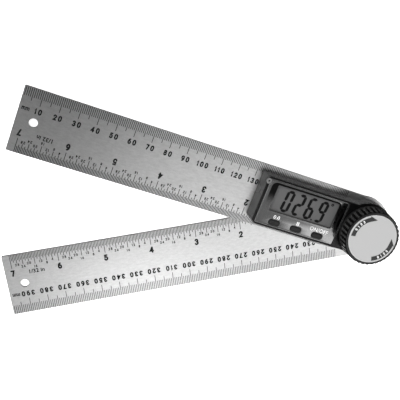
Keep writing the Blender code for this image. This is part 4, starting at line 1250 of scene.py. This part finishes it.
class AF_OT_back(bpy.types.Operator):
    """Dresses the battery tray, its cover and the pivot's foot"""

    bl_idname = "angle_finder.back"
    bl_label = "Back"

    def execute(self, context):
        for node, name, finish, body, slot in (
                ("battery_tray", "battery_tray_moulding", "tray", "upper_arm", "black_abs"),
                ("battery_cover", "battery_cover_moulding", "tray", "upper_arm", "black_abs"),
                ("pivot_boss", "pivot_boss_turned", "bright_steel", "lower_arm", "bright_steel"),
                ("thrust_washer", "thrust_washer_turned", "bright_steel", "knob_carrier", "bright_steel")):
            dress(node, name, finish, body, 0.06)

        low, high = (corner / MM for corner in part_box("battery_cover"))
        middle = (low + high) / 2
        proud = 0.08
        marks = bmesh.new()
        for side in (-1, 1):
            marks.from_mesh(grow(tick_tree(1), {
                "First": (middle.x + side * 13.2 - 1.6) * MM, "First Number": 0, "Count": 5,
                "Pitch": 0.8 * MM, "Edge": (middle.y + 4.0) * MM, "Side": 1.0, "Height": low.z * MM,
                "Width": 0.4 * MM, "Thickness": 2 * proud * MM, "Finish": MATERIALS["tray"],
                "Length 0": 8.0 * MM}))
        ring = outline_print([circle(9.6, 64), circle(9.2, 64)])
        arm, half = 2.0, 0.35
        plus = outline_print([[(x * c - y * s, x * s + y * c) for c, s in ((1, 0), (0, 1), (-1, 0), (0, -1))
                               for x, y in ((half, half), (half, arm), (-half, arm))]])
        for sign in (ring, plus):
            put(marks, sign, (middle.x, middle.y), top=low.z, stand=proud, sink=proud)
        piece("battery_cover_marks", marks, "tray", "upper_arm")
        return {"FINISHED"}


def screw_profile(head, land, sink, shank, long):
    """A countersunk screw's section from the axis round its head, its thread and its tip, head down."""
    pitch = 0.5
    points = [(0.0, 0.0), (head - 0.08, 0.0), (head, 0.06), (head, land), (shank, sink)]
    height = sink + 0.3
    while height < long - 2 * pitch:
        points += [(shank * 0.86, height), (shank, height + pitch / 2)]
        height += pitch
    return points + [(shank * 0.86, height), (shank * 0.4, long), (0.0, long)]


class AF_OT_screws(bpy.types.Operator):
    """Makes the head's four screws and the battery cover's two"""

    bl_idname = "angle_finder.screws"
    bl_label = "Screws"

    def execute(self, context):
        rows = bmesh.new()
        setter = screw_tree()
        for nodes, head, land, sink, shank, long, count_down in (
                (HEAD_SCREWS, 1.86, 0.15, 0.9, 1.0, 5.78, 2),
                (COVER_SCREWS, 1.22, 0.15, 0.5, 0.7, 2.98, 1)):
            screw = meshed("screw", turned_shell(screw_profile(head, land, sink, shank, long), 32))
            middles = [(low + high) / 2 for low, high in map(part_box, nodes)]
            xs, ys = [m.x for m in middles], [m.y for m in middles]
            rows.from_mesh(grow(setter, {
                "Columns": 2, "Rows": count_down, "Width": max(xs) - min(xs), "Height": max(ys) - min(ys),
                "Centre": ((max(xs) + min(xs)) / 2, (max(ys) + min(ys)) / 2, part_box(nodes[0])[0].z),
                "Slot Length": head * 2.4 * MM, "Slot Width": 0.5 * MM, "Slot Depth": sink * 0.45 * MM,
                "Finish": MATERIALS["bright_steel"]}, screw))
        piece("back_screws", rows, "bright_steel", "upper_arm", HEAD_SCREWS + COVER_SCREWS)
        return {"FINISHED"}


class AF_OT_inside(bpy.types.Operator):
    """Gives every CAD piece that still shows its finish"""

    bl_idname = "angle_finder.inside"
    bl_label = "Inner Pieces"

    def execute(self, context):
        by_slot = {"satin_steel": "steel_upper", "bright_steel": "bright_steel", "brass": "brass",
                   "bronze": "bronze", "black_abs": "tray", "gloss_panel": "panel", "knob_black": "knob",
                   "label_silver": "disc", "lcd_grey": "display", "button_grey": "button",
                   "white_plastic": "frame", "rubber_grey": "rubber", "board_green": "board",
                   "chip_black": "chip"}
        for node in NODES.values():
            for slot in node.material_slots:
                slot.material = MATERIALS[by_slot[slot.material.name.split(".")[0]]]
        return {"FINISHED"}


class AF_PT_panel(bpy.types.Panel):
    """Lists the pieces and their settings"""

    bl_idname = "AF_PT_panel"
    bl_label = "Angle Finder"
    bl_space_type = "VIEW_3D"
    bl_region_type = "UI"
    bl_category = "Angle Finder"

    def draw(self, context):
        for group in GROUPS:
            box = self.layout.box()
            box.label(text=group.capitalize())
            chosen = settings(group)
            for name in chosen.__annotations__:
                box.prop(chosen, name)
        for operator in OPERATORS:
            self.layout.operator(operator.bl_idname)


GROUPS = {"scale": ScaleSettings, "head": HeadSettings, "knob": KnobSettings, "studio": StudioSettings}
OPERATORS = (AF_OT_studio, AF_OT_arms, AF_OT_ticks, AF_OT_numbers, AF_OT_head, AF_OT_display, AF_OT_buttons,
             AF_OT_knob, AF_OT_arrows, AF_OT_back, AF_OT_screws, AF_OT_inside)


def register():
    for group in GROUPS.values():
        bpy.utils.register_class(group)
    for name, group in GROUPS.items():
        setattr(bpy.types.Scene, "angle_finder_" + name, bpy.props.PointerProperty(type=group))
    for kind in OPERATORS + (AF_PT_panel,):
        bpy.utils.register_class(kind)


def unregister():
    for kind in reversed(OPERATORS + (AF_PT_panel,)):
        bpy.utils.unregister_class(kind)
    for name, group in GROUPS.items():
        delattr(bpy.types.Scene, "angle_finder_" + name)
        bpy.utils.unregister_class(group)


def main():
    """Makes every piece in order."""
    register()
    make_materials()
    for operator in OPERATORS:
        group, name = operator.bl_idname.split(".")
        getattr(getattr(bpy.ops, group), name)()


if __name__ == "__main__":
    main()
